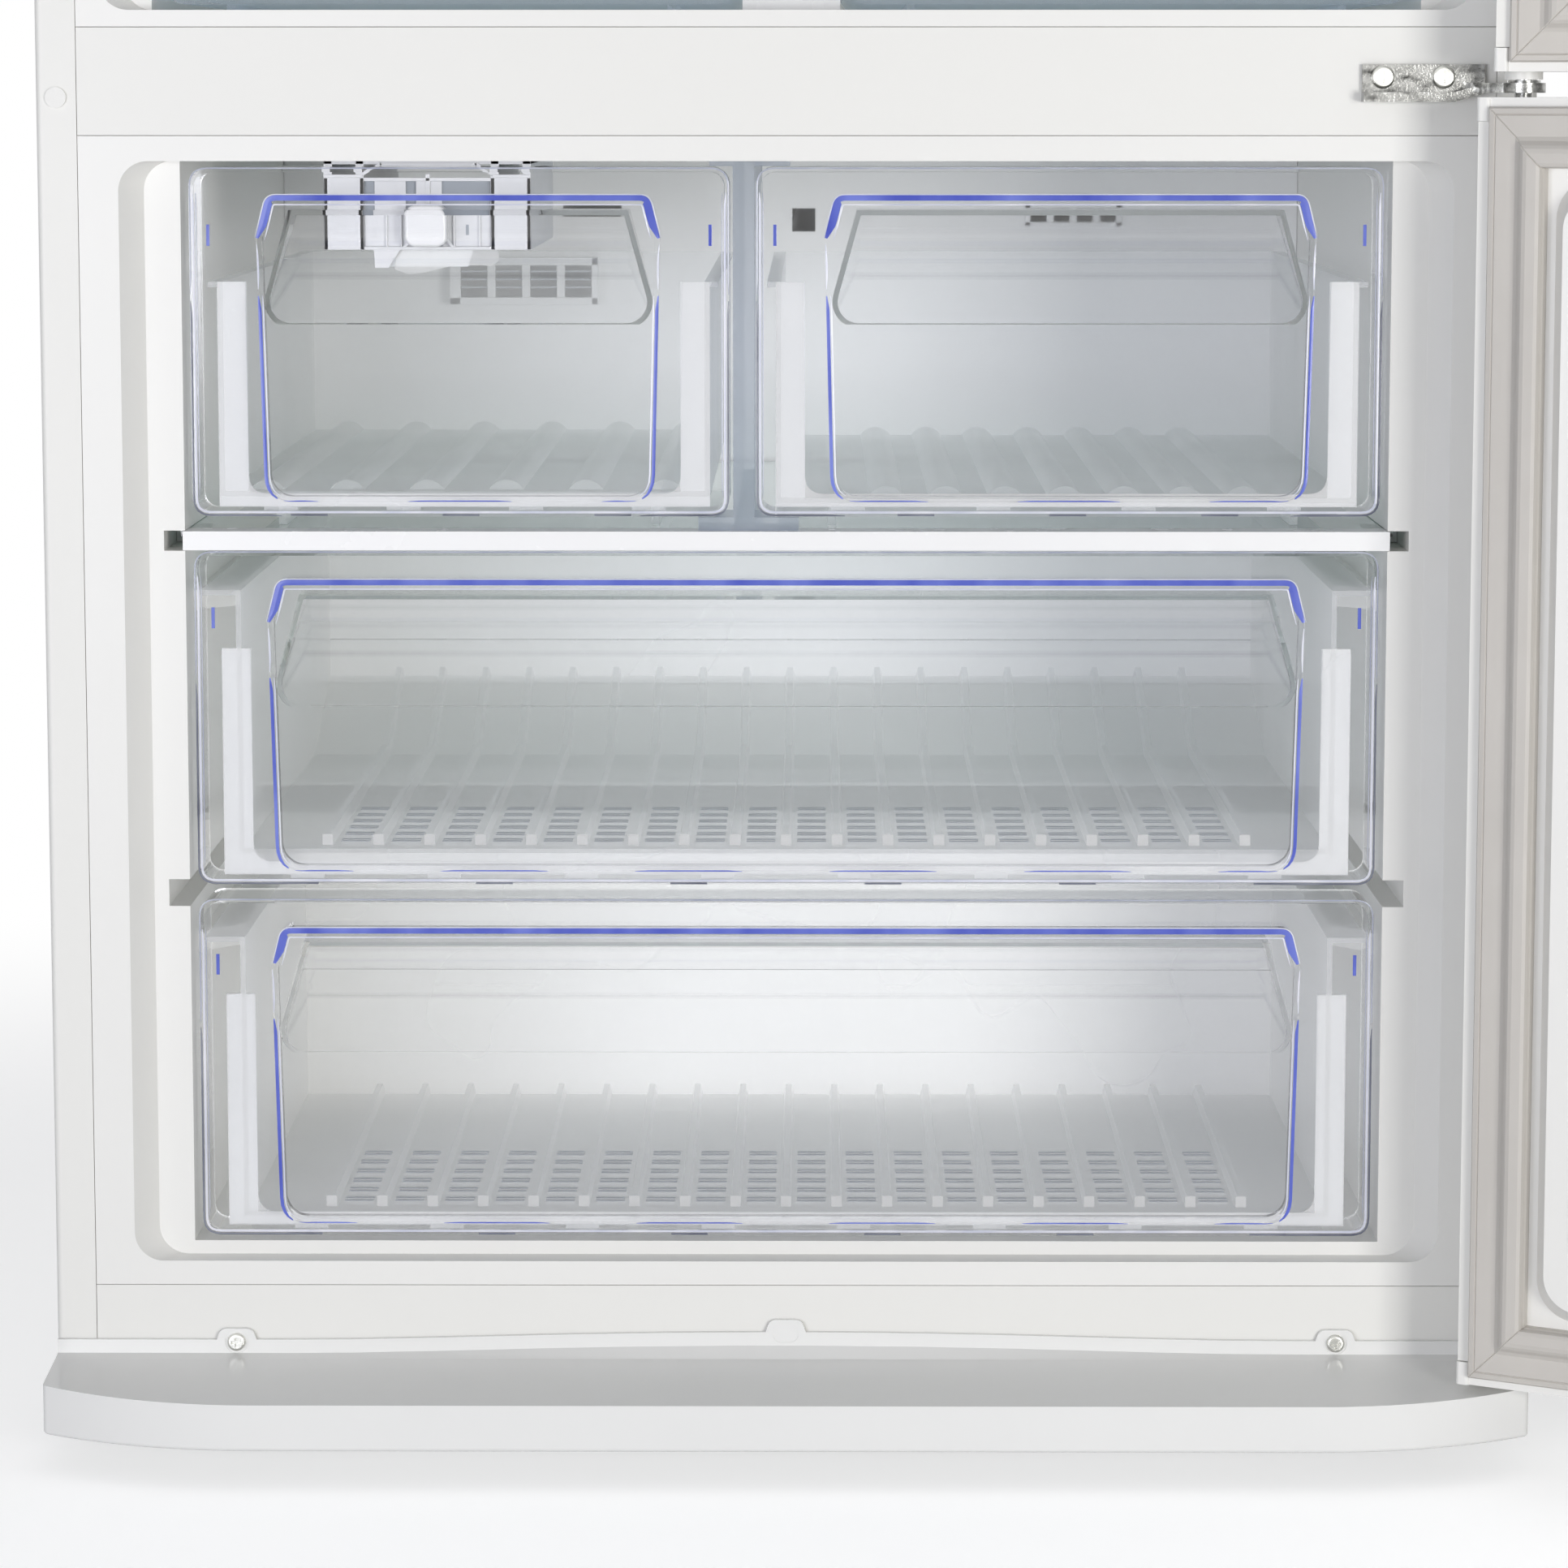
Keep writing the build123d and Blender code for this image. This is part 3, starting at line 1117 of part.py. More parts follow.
def crisper(x0, x1):
    """Vegetable drawer, open at the top, on two runners."""
    y0 = 25.0
    y1 = SHELF_END - 20
    wall = 2.5
    body = along_y(rounded(x0, x1, CRISPER_Z, CRISPER_TOP + 20, 12), y0, y1)
    room = rounded(x0 + wall, x1 - wall, CRISPER_Z + wall, CRISPER_TOP + 25, 10)
    body -= along_y(room, y0 + wall, y1 - wall)
    body -= box(x0 - 1, x1 + 1, y0 - 1, y1 + 1, CRISPER_TOP, CRISPER_TOP + 30)
    body += box(x0, x1, y0 - 6, y0 + 1, CRISPER_TOP - 16, CRISPER_TOP - 12)
    for x in (x0 + 30, x1 - 34):
        body += box(x, x + 4, y0 + 10, y1 - 10, FRIDGE_FLOOR + FIT, CRISPER_Z + 1)
    return body


def fridge_air_duct():
    """Raised channel up the rear wall with a row of outlets on each side."""
    low = CRISPER_SHELF_Z + 30
    high = FRIDGE_CEILING - FIT
    y1 = LINER_BACK - FIT
    duct = box(-70, 70, y1 - 15, y1, low, high)
    duct = fillet(duct.edges().filter_by(Axis.Z).filter_by_position(Axis.Y, y1 - 16, y1 - 14), 8)
    duct -= box(-68, 68, y1 - 13, y1 + 1, low + 2, high - 2)
    for level in [CRISPER_SHELF_Z + SHELF_PITCH * (i + 0.5) for i in range(SHELF_COUNT + 1)]:
        for x in (-45, 15):
            duct -= box(x, x + 30, y1 - 16, y1 - 12, level, level + 10)
    return duct


def control_housing():
    """Box under the fridge ceiling that holds the thermostat and the lamp."""
    high = FRIDGE_CEILING - FIT
    shell = box(-130, 130, 70, 260, high - 40, high)
    shell = fillet(shell.edges().filter_by(Axis.Z), 10)
    shell -= box(-127, 127, 73, 257, high - 37, high + 1)
    return shell - rod_y(60, 80, -70, high - 20, PIN_R + RUN)


def control_knob():
    z = FRIDGE_CEILING - FIT - 20
    knob = rod_y(58, 70 - FIT, -70, z, 15)
    knob = fillet(knob.edges().group_by(Axis.Y)[0], 2)
    knob += box(-71.5, -68.5, 54, 59, z - 12, z + 12)
    return knob + rod_y(69, 85, -70, z, PIN_R)


def lamp_cover():
    """Lens clipped under the control housing."""
    high = FRIDGE_CEILING - 2 * FIT - 40
    lens = box(-20, 110, 100, 230, high - 12, high)
    lens = fillet(lens.edges().group_by(Axis.Z)[0] + lens.edges().filter_by(Axis.Z), 5)
    return lens - box(-18, 108, 102, 228, high - 10, high + 1)


# Cooling unit, feet and rollers


def compressor():
    """Sealed can with a dome, on a foot plate with four rubber buffers."""
    x = 270.0 - HALF
    y = (BAY_Y + CASE_D) / 2 + 8
    low = PAN_TOP + FIT
    can = rod_z(low + 14, BAY_LOW - 12, x, y, 66)
    can = fillet(can.edges().group_by(Axis.Z)[-1], 34)
    can += box(x - 88, x + 88, y - 55, y + 55, low + 10, low + 15)
    for dx in (-74, 74):
        for dy in (-42, 42):
            can += rod_z(low, low + 11, x + dx, y + dy, 9)
    return can + box(x + 60, x + 84, y - 20, y + 20, low + 60, low + 110)


def drain_pan():
    low = PAN_TOP + FIT
    y0 = BAY_Y + 20
    y1 = CASE_D - 30
    right = HALF - 40.0
    left = right - 200.0
    pan = box(left, right, y0, y1, low, low + 45)
    pan = fillet(pan.edges().filter_by(Axis.Z), 10)
    return pan - box(left + 2, right - 2, y0 + 2, y1 - 2, low + 2, low + 46)


def compressor_cover():
    """Rear guard of the bay with rows of air slots."""
    low = PAN_TOP + FIT
    high = BAY_HIGH - FIT - 1
    y1 = CASE_D - SHEET - FIT
    cover = box(-INSIDE + 3, INSIDE - 3, y1 - 2, y1, low, high)
    for x in places(0, 14, (2 * INSIDE - 82) / 14):
        for z in (low + 30, low + 120):
            cover -= box(x - 14, x + 14, y1 - 3, y1 + 1, z, z + 60)
    return cover


def foot():
    """Levelling foot: pad, grip and threaded stem."""
    pad = rod_z(0, 9, FOOT_X, FOOT_SETBACK, FOOT_R)
    grip = along_z(Pos(FOOT_X, FOOT_SETBACK) * RegularPolygon(14, 6), 8.5, 20)
    stem = rod_z(19, PAN_TOP - 1, FOOT_X, FOOT_SETBACK, STEM_R)
    return pad + grip + stem


def roller():
    y = CASE_D - ROLLER_FROM_BACK
    wheel = rod_x(ROLLER_X - ROLLER_W / 2, ROLLER_X + ROLLER_W / 2, y, ROLLER_R, ROLLER_R)
    return wheel - rod_x(0, HALF, y, ROLLER_R, PIN_R + RUN)


save("outer_case", outer_case())
save("hole_plugs", *hole_plugs())
save("back_panel", back_panel())
save("case_insulation", case_insulation())
save("centre_rail", centre_rail())
save("bottom_rail", bottom_rail())
save("base_pan", base_pan())
save("freezer_liner", freezer_liner())
save("fridge_liner", fridge_liner())
save("kick_plate", kick_plate())
save("screws", *screws())
save("middle_hinge_bracket", middle_hinge_bracket())
save("top_hinge_bracket", top_hinge_bracket())
save("bottom_hinge_bracket", bottom_hinge_bracket())
save("hinge_pins", *hinge_pins())
save("top_hinge_cover", top_hinge_cover())

for name, low, high, angle in (
    ("lower_door", DOOR_BOTTOM, LOWER_DOOR_TOP, LOWER_OPEN),
    ("upper_door", UPPER_DOOR_BOTTOM, UPPER_DOOR_TOP, UPPER_OPEN),
):
    upper = name == "upper_door"
    handle_z = low + 60.0 if upper else high - 60.0 - HANDLE_LENGTH
    save(f"{name}_skin", swing(door_skin(low, high), angle))
    save(f"{name}_caps", *[swing(cap, angle) for cap in door_caps(low, high)])
    save(f"{name}_liner", swing(door_liner(low, high, upper), angle))
    save(f"{name}_foam", swing(door_foam(low, high), angle))
    save(f"{name}_gasket", swing(door_gasket(low, high), angle))
    save(f"{name}_handle", swing(door_handle(handle_z), angle))
save("door_bins", *[swing(tray, UPPER_OPEN) for tray in door_bins()])

for name, x0, x1, low, high, side in (
    ("upper_left", -FRONT_EDGE, LEFT_END, UPPER_FRONT_Z, UPPER_FRONT_TOP, PANEL_SIDE_UPPER),
    ("upper_right", RIGHT_START, FRONT_EDGE, UPPER_FRONT_Z, UPPER_FRONT_TOP, PANEL_SIDE_UPPER),
    ("middle", -FRONT_EDGE, FRONT_EDGE, MIDDLE_FRONT_Z, MIDDLE_FRONT_TOP, PANEL_SIDE_WIDE),
    ("bottom", -FRONT_EDGE, FRONT_EDGE, BOTTOM_FRONT_Z, BOTTOM_FRONT_TOP, PANEL_SIDE_WIDE),
):
    save(f"front_{name}", drawer_front(x0, x1, low, high, side))
left_tub = upper_tub(-FRONT_EDGE + 12.5, LEFT_END - 9.3, 6, WIDE_RIB_PITCH, UPPER_TUB_FLOOR + 3.0)
save("tub_upper_left", left_tub)
right_tub = upper_tub(RIGHT_START + 9.3, FRONT_EDGE - 10.8, 7, HUMP_RIB_PITCH, UPPER_TUB_FLOOR)
save("tub_upper_right", right_tub)
save("tub_middle", wide_tub(MIDDLE_FRONT_Z, MIDDLE_TUB_FLOOR, MIDDLE_RIM, TUB_BACK, bend=True))
save("tub_bottom", wide_tub(BOTTOM_FRONT_Z, BOTTOM_TUB_FLOOR, BOTTOM_RIM, BOTTOM_TUB_BACK))

save("shelf_frames", *shelf_frames())
save("glass_shelves", *glass_shelves())
save("freezer_divider", freezer_divider())
save("ice_maker_frame", ice_maker_frame())
save("ice_tray", ice_tray())
save("ice_tray_knob", ice_tray_knob())
save("evaporator_cover", evaporator_cover())
save("evaporator", evaporator())
save("fan_motor", fan_motor())
save("fan_blade", fan_blade())
save("crisper_left", crisper(-FRIDGE_HALF + 3, -22))
save("crisper_right", crisper(27, FRIDGE_HALF - 3))
save("fridge_air_duct", fridge_air_duct())
save("control_housing", control_housing())
save("control_knob", control_knob())
save("lamp_cover", lamp_cover())
save("compressor", compressor())
save("drain_pan", drain_pan())
save("compressor_cover", compressor_cover())
save("foot_right", foot())
save("foot_left", mirrored(foot()))
save("roller_right", roller())
save("roller_left", mirrored(roller()))
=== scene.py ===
import bpy
import bmesh
import json
import math
from mathutils import Matrix, Vector


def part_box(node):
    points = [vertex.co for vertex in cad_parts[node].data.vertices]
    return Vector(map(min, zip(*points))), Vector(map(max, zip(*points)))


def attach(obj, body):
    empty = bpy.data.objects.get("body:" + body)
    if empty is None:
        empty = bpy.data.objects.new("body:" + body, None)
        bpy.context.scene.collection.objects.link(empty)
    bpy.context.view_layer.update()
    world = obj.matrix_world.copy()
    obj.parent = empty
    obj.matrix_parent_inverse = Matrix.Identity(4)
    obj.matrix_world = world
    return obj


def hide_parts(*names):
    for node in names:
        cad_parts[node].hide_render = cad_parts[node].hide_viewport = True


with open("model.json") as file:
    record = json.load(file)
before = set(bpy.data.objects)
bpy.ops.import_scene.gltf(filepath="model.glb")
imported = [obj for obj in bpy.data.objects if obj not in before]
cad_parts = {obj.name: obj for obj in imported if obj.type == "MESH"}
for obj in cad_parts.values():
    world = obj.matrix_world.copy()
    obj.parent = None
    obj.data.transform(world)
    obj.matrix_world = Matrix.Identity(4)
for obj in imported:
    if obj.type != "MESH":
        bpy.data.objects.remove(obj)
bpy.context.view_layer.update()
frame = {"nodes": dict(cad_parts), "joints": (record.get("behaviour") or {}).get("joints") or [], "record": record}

NODES = frame["nodes"]
MM = 0.001


# Shader building blocks

NOISE_LOW = 0.3
NOISE_HIGH = 0.7


class Shader:
    """A material's node tree with short calls to add and link nodes."""

    def __init__(self, name):
        self.material = bpy.data.materials.new(name)
        self.material.use_nodes = True
        self.tree = self.material.node_tree
        self.tree.nodes.clear()
        self.out = self.tree.nodes.new("ShaderNodeOutputMaterial")
        self.place = self.add("ShaderNodeTexCoord").outputs["Object"]

    def add(self, kind, links=(), **values):
        """New node; links gives what feeds its sockets, values its sockets' own numbers or its settings."""
        node = self.tree.nodes.new(kind)
        for key, value in values.items():
            socket = key.replace("_", " ")
            if socket in node.inputs:
                node.inputs[socket].default_value = value
            else:
                setattr(node, key, value)
        for key, source in dict(links).items():
            self.tree.links.new(source, node.inputs[key])
        return node

    def stretch(self, x, y, z):
        """Object coordinates scaled along each axis."""
        node = self.add("ShaderNodeMapping", {"Vector": self.place})
        node.inputs["Scale"].default_value = (x, y, z)
        return node.outputs["Vector"]

    def noise(self, scale, detail=3.0, place=None):
        links = {"Vector": place or self.place}
        node = self.add("ShaderNodeTexNoise", links, Scale=scale, Detail=detail)
        return node.outputs["Fac"]

    def ramp(self, source, low, high):
        """Source moved from the range where noise mostly lies to low-high."""
        node = self.add("ShaderNodeMapRange", {"Value": source})
        ends = (("From Min", NOISE_LOW), ("From Max", NOISE_HIGH), ("To Min", low), ("To Max", high))
        for key, value in ends:
            node.inputs[key].default_value = value
        return node.outputs["Result"]

    def blend(self, source, low, high):
        """Colour between low and high by source."""
        node = self.add("ShaderNodeMix", {"Factor": self.ramp(source, 0.0, 1.0)}, data_type="RGBA")
        node.inputs["A"].default_value = (*low, 1)
        node.inputs["B"].default_value = (*high, 1)
        return node.outputs["Result"]

    def bump(self, height, distance, strength=0.5):
        node = self.add("ShaderNodeBump", {"Height": height}, Distance=distance, Strength=strength)
        return node.outputs["Normal"]

    def mix(self, factor, first, second):
        """Mix Shader by a number or a socket."""
        node = self.add("ShaderNodeMixShader")
        if isinstance(factor, float):
            node.inputs[0].default_value = factor
        else:
            self.tree.links.new(factor, node.inputs[0])
        self.tree.links.new(first, node.inputs[1])
        self.tree.links.new(second, node.inputs[2])
        return node.outputs[0]

    def finish(self, shader):
        self.tree.links.new(shader, self.out.inputs["Surface"])
        return self.material


def shade(colour, factor):
    """Colour made lighter or darker by a factor."""
    return tuple(min(1.0, c * factor) for c in colour)


def solid(name, colour, rough=0.4, vary=0.04, patch=9.0, grain=900.0, relief=0.00005, uneven=0.15, **own):
    """Opaque moulding or coating: cloudy colour, uneven gloss and a fine skin."""
    s = Shader(name)
    cloud = s.noise(patch)
    links = {
        "Base Color": s.blend(cloud, shade(colour, 1 - vary), shade(colour, 1 + vary)),
        "Roughness": s.ramp(s.noise(patch * 7), rough * (1 - uneven), rough * (1 + uneven)),
        "Normal": s.bump(s.noise(grain), relief),
    }
    return s.finish(s.add("ShaderNodeBsdfPrincipled", links, **own).outputs[0])


def metal(name, colour, rough, along=(1, 1, 60), relief=0.00003):
    """Bare or plated metal with fine drawn lines."""
    s = Shader(name)
    lines = s.noise(120.0, 5.0, s.stretch(*along))
    links = {
        "Base Color": s.blend(s.noise(60.0), shade(colour, 0.88), shade(colour, 1.06)),
        "Roughness": s.ramp(lines, rough * 0.7, rough * 1.3),
        "Normal": s.bump(lines, relief),
    }
    return s.finish(s.add("ShaderNodeBsdfPrincipled", links, Metallic=1.0).outputs[0])


def plated(name):
    """Plating over a rough pressing: light and dark patches with small sparkles."""
    s = Shader(name)
    patches = s.noise(210.0, 4.0, s.stretch(0.5, 1, 1))
    links = {
        "Base Color": s.blend(patches, (0.05, 0.05, 0.048), (0.52, 0.52, 0.50)),
        "Roughness": s.ramp(patches, 0.28, 0.12),
        "Normal": s.bump(s.noise(900.0, 3.0), 0.0001, 0.8),
    }
    return s.finish(s.add("ShaderNodeBsdfPrincipled", links, Metallic=1.0).outputs[0])


def lamps_pass(s, shader, tint, scattered=False):
    """Lets lamplight, and scattered light where asked, straight through a wall instead of shadowing it."""
    rays = s.add("ShaderNodeLightPath").outputs
    open_side = s.add("ShaderNodeBsdfTransparent", Color=(*tint, 1)).outputs[0]
    if scattered:
        shader = s.mix(rays["Is Diffuse Ray"], shader, open_side)
    return s.mix(rays["Is Shadow Ray"], shader, open_side)


def clear(name, tint, rough=0.02, ior=1.5, waves=9.0, relief=0.00005):
    """Clear moulding with faint flow waves."""
    s = Shader(name)
    cloud = s.noise(waves, 1.0)
    links = {
        "Base Color": s.blend(cloud, shade(tint, 0.985), tint),
        "Roughness": s.ramp(cloud, rough * 0.5, rough * 1.6),
        "Normal": s.bump(cloud, relief),
    }
    glass = s.add("ShaderNodeBsdfPrincipled", links, IOR=ior)
    glass.inputs["Transmission Weight"].default_value = 1.0
    return s.finish(lamps_pass(s, glass.outputs[0], tint, scattered=True))


WINDOW_TINT = (0.997, 0.998, 1.0)
EDGE_BLEND = 0.35


def milky(name, colour, face, edge, rough=0.25, patch=8.0, glow=0.45, passing=0.98):
    """Translucent moulding: face is its cover seen straight on, edge its cover seen along the wall."""
    s = Shader(name)
    cloud = s.noise(patch, 2.0)
    links = {
        "Base Color": s.blend(cloud, shade(colour, 0.96), colour),
        "Roughness": s.ramp(cloud, rough * 0.8, rough * 1.2),
        "Normal": s.bump(s.noise(120.0, 0.0), 0.00002),
    }
    skin = s.add("ShaderNodeBsdfPrincipled", links).outputs[0]
    through = s.add("ShaderNodeBsdfTranslucent", Color=(*colour, 1)).outputs[0]
    body = s.mix(glow, skin, through)
    window = s.add("ShaderNodeBsdfTransparent", Color=(*WINDOW_TINT, 1)).outputs[0]
    facing = s.add("ShaderNodeLayerWeight", Blend=EDGE_BLEND).outputs["Facing"]
    cover = s.add("ShaderNodeMapRange", {"Value": facing})
    cover.inputs["To Min"].default_value = face
    cover.inputs["To Max"].default_value = edge
    wall = s.mix(cover.outputs["Result"], window, body)
    return s.finish(lamps_pass(s, wall, (passing, passing, passing)))


# Materials, one per slot of the record

WHITE = (0.77, 0.765, 0.735)
CLEAN_WHITE = (0.79, 0.785, 0.76)


def paint(name):
    """Smooth baked enamel, with soft broad changes of tone and gloss and a fine skin."""
    return solid(name, WHITE, 0.42, vary=0.006, patch=1.2, grain=900.0, relief=0.00001, uneven=0.05)


def liner(name):
    """Satin vacuum-formed sheet."""
    return solid(name, CLEAN_WHITE, 0.34, vary=0.006, patch=2.0, grain=60.0, relief=0.00002, uneven=0.04)


SLOTS = {
    "case_paint": paint("case_paint"),
    "door_paint": paint("door_paint"),
    "rail_paint": paint("rail_paint"),
    "galvanised": metal("galvanised", (0.55, 0.56, 0.57), 0.42, along=(1, 1, 1)),
    "liner_white": liner("liner_white"),
    "foam": solid("foam", (0.86, 0.80, 0.62), 0.9, vary=0.08, grain=700.0, relief=0.0005),
    "kick_grey": solid("kick_grey", (0.78, 0.78, 0.765), 0.16, vary=0.01, grain=120.0, relief=0.00004),
    "chrome": plated("chrome"),
    "zinc": metal("zinc", (0.70, 0.70, 0.66), 0.28, along=(1, 1, 1)),
    "bracket_paint": solid("bracket_paint", (0.72, 0.72, 0.70), 0.4),
    "white_plastic": solid("white_plastic", CLEAN_WHITE, 0.42, vary=0.02, relief=0.00008),
    "shelf_glass": clear("shelf_glass", (0.90, 0.96, 0.94), ior=1.52),
    "trim_white": solid("trim_white", (0.85, 0.85, 0.85), 0.25, vary=0.015),
    "divider_clear": milky("divider_clear", (0.56, 0.61, 0.69), 0.42, 0.75, 0.12),
    "cover_grey": solid("cover_grey", (0.80, 0.80, 0.80), 0.45, vary=0.01, relief=0.00004),
    "coil_aluminium": metal("coil_aluminium", (0.75, 0.76, 0.77), 0.35),
    "motor_dark": solid("motor_dark", (0.10, 0.10, 0.11), 0.5, vary=0.15),
    "blade_grey": solid("blade_grey", (0.35, 0.36, 0.38), 0.45, vary=0.08),
    "lens_clear": milky("lens_clear", (0.90, 0.91, 0.92), 0.45, 0.8, 0.3),
    "crisper_clear": milky("crisper_clear", (0.74, 0.80, 0.88), 0.22, 0.65, 0.10),
    "tub_frost": milky("tub_frost", (0.92, 0.925, 0.935), 0.27, 0.62, 0.22, glow=0.35),
    "front_clear": clear("front_clear", (0.994, 0.996, 1.0)),
    "tray_blue": solid("tray_blue", (0.66, 0.68, 0.70), 0.35, vary=0.02, relief=0.00003),
    "black_steel": solid("black_steel", (0.05, 0.05, 0.05), 0.35, vary=0.2),
    "black_plastic": solid("black_plastic", (0.06, 0.06, 0.06), 0.5, vary=0.2),
    "foot_plastic": solid("foot_plastic", (0.30, 0.30, 0.30), 0.55, vary=0.1),
    "gasket_grey": solid("gasket_grey", (0.54, 0.515, 0.48), 0.55, vary=0.03, grain=600.0),
    "handle_grey": solid("handle_grey", (0.66, 0.67, 0.68), 0.3),
    "bin_clear": milky("bin_clear", (0.76, 0.82, 0.89), 0.20, 0.6, 0.08),
}

for part in frame["record"]["subparts"]:
    mesh = NODES[part["node"]].data
    mesh.materials.clear()
    mesh.materials.append(SLOTS[part["material_slot"]])


# Mesh helpers


def new_piece(name, vertices, faces, material, body):
    """Mesh object in one material, which rides on a body."""
    mesh = bpy.data.meshes.new(name)
    mesh.from_pydata([tuple(v) for v in vertices], [], faces)
    tidy = bmesh.new()
    tidy.from_mesh(mesh)
    bmesh.ops.recalc_face_normals(tidy, faces=tidy.faces)
    tidy.to_mesh(mesh)
    tidy.free()
    mesh.materials.append(material)
    piece = bpy.data.objects.new(name, mesh)
    bpy.context.scene.collection.objects.link(piece)
    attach(piece, body)
    return piece


def arc(before, corner, after, r, steps=6):
    """Points of a fillet of radius r at a corner of a line in the XZ plane."""
    into = (corner - before).normalized()
    away = (after - corner).normalized()
    turn = into.angle(away)
    reach = r * math.tan(turn / 2)
    points = []
    for i in range(steps + 1):
        t = i / steps
        a = corner - into * reach * (1 - t)
        b = corner + away * reach * t
        points.append(a.lerp(b, t))
    return points


STEP = 3 * MM


def closed_path(start, corners):
    """Points a step apart through corners, each with its fillet radius, from start round to start."""
    stops = [start] + [corner for corner, r in corners] + [start]
    path = [start]
    for (corner, r), before, after in zip(corners, stops, stops[2:]):
        path += arc(before, corner, after, r) if r else [corner]
    path.append(start)
    dense = []
    for a, b in zip(path, path[1:]):
        count = max(1, round((b - a).length / STEP))
        dense += [a.lerp(b, i / count) for i in range(count)]
    return dense


def plate(name, outline, y0, y1, material, body):
    """Flat piece with its outline in the XZ plane."""
    count = len(outline)
    vertices = [(p.x, y, p.y) for y in (y0, y1) for p in outline]
    faces = [tuple(range(count)), tuple(range(count, 2 * count))]
    faces += [(i, (i + 1) % count, count + (i + 1) % count, count + i) for i in range(count)]
    return new_piece(name, vertices, faces, material, body)


def bevelled(name, boxes, edge, material, body):
    """One piece of many bars and panels, each with its edges eased."""
    mesh = bmesh.new()
    for x0, x1, y0, y1, z0, z1 in boxes:
        corners = [mesh.verts.new((x, y, z)) for x in (x0, x1) for y in (y0, y1) for z in (z0, z1)]
        for quad in ((0, 1, 3, 2), (4, 6, 7, 5), (0, 4, 5, 1), (2, 3, 7, 6), (0, 2, 6, 4), (1, 5, 7, 3)):
            mesh.faces.new([corners[i] for i in quad])
    bmesh.ops.bevel(mesh, geom=list(mesh.edges), offset=edge, segments=2, affect="EDGES", profile=0.6)
    vertices = [v.co.copy() for v in mesh.verts]
    mesh.verts.index_update()
    faces = [[v.index for v in f.verts] for f in mesh.faces]
    mesh.free()
    return new_piece(name, vertices, faces, material, body)


def spread(middle, count, pitch):
    """Places of count things at a pitch, centred on middle."""
    return [middle + (i - (count - 1) / 2) * pitch for i in range(count)]


# Coloured edges of the drawer fronts: blue tint with a painted edge glow, painted highlights and painted shade
# lines

PANEL_SIDE = {"upper_left": 32.4 * MM, "upper_right": 32.4 * MM, "middle": 35.6 * MM, "bottom": 35.6 * MM}
PANEL_HEAD = 13 * MM
PANEL_FOOT = 7.5 * MM
PANEL_LEAN = 5 * MM
PANEL_TAPER = 3 * MM
GRIP_BAR = 20 * MM
HEAD_R = 6 * MM
FOOT_R = 13 * MM
RIM_R = 9 * MM
PANEL_RAISE = 8 * MM
EDGE_T = 0.15 * MM
END_WIDTH = 0.35
END_GROWTH = 0.3


def edge_plastic(name, dark, light, glow):
    """Colour for strips on a clear front's edges, where the moulding bends light: painted highlights, painted
    shade and refraction lines, and the saturated blue of its tint with a painted edge glow.
    """
    s = Shader(name)
    streak = s.noise(60.0, 2.0, s.stretch(1, 1, 0.4))
    links = {
        "Base Color": s.blend(streak, dark, light),
        "Roughness": s.ramp(streak, 0.08, 0.25),
        "Normal": s.bump(s.noise(300.0, 1.0), 0.00005),
    }
    skin = s.add("ShaderNodeBsdfPrincipled", links).outputs[0]
    through = s.add("ShaderNodeBsdfTranslucent", Color=(*glow, 1)).outputs[0]
    return s.finish(s.mix(0.3, skin, through))


# Blue is the plastic's tint with a painted edge glow; the other strips are painted highlight, painted shade and
# painted refraction lines, and slate also colours the clips
BLUE = edge_plastic("edge_blue", (0.085, 0.12, 0.60), (0.22, 0.28, 0.78), (0.2, 0.25, 0.8))
PAINTED_HIGHLIGHT = edge_plastic("edge_painted_highlight", (0.66, 0.68, 0.80), (0.88, 0.88, 0.93), (0.9, 0.9, 0.95))
SLATE = edge_plastic("edge_slate", (0.13, 0.14, 0.19), (0.30, 0.32, 0.38), (0.2, 0.2, 0.3))
PAINTED_REFRACTION = edge_plastic("edge_painted_refraction", (0.40, 0.43, 0.56), (0.62, 0.64, 0.72), (0.5, 0.5, 0.6))


def panel_loop(box, side):
    """Outline of a raised panel, clockwise from the middle of its foot."""
    low, high = box
    left = low.x + side
    right = high.x - side
    top = high.z - PANEL_HEAD
    knee = top - GRIP_BAR
    foot = low.z + PANEL_FOOT
    corners = (
        (Vector((left + PANEL_TAPER, foot)), FOOT_R),
        (Vector((left, knee)), 0),
        (Vector((left + PANEL_LEAN, top)), HEAD_R),
        (Vector((right - PANEL_LEAN, top)), HEAD_R),
        (Vector((right, knee)), 0),
        (Vector((right - PANEL_TAPER, foot)), FOOT_R),
    )
    return closed_path(Vector(((left + right) / 2, foot)), corners), top, knee, foot


def rim_loop(box):
    """Outline of the whole front, clockwise from the middle of its foot."""
    low, high = box
    corners = (
        (Vector((low.x, low.z)), RIM_R),
        (Vector((low.x, high.z)), RIM_R),
        (Vector((high.x, high.z)), RIM_R),
        (Vector((high.x, low.z)), RIM_R),
    )
    return closed_path(Vector(((low.x + high.x) / 2, low.z)), corners)


def runs(points, keep):
    """Stretches of three or more consecutive points that pass a test."""
    found = []
    current = []
    for point in points:
        if keep(point):
            current.append(point)
        elif current:
            found.append(current)
            current = []
    if current:
        found.append(current)
    return [run for run in found if len(run) > 2]


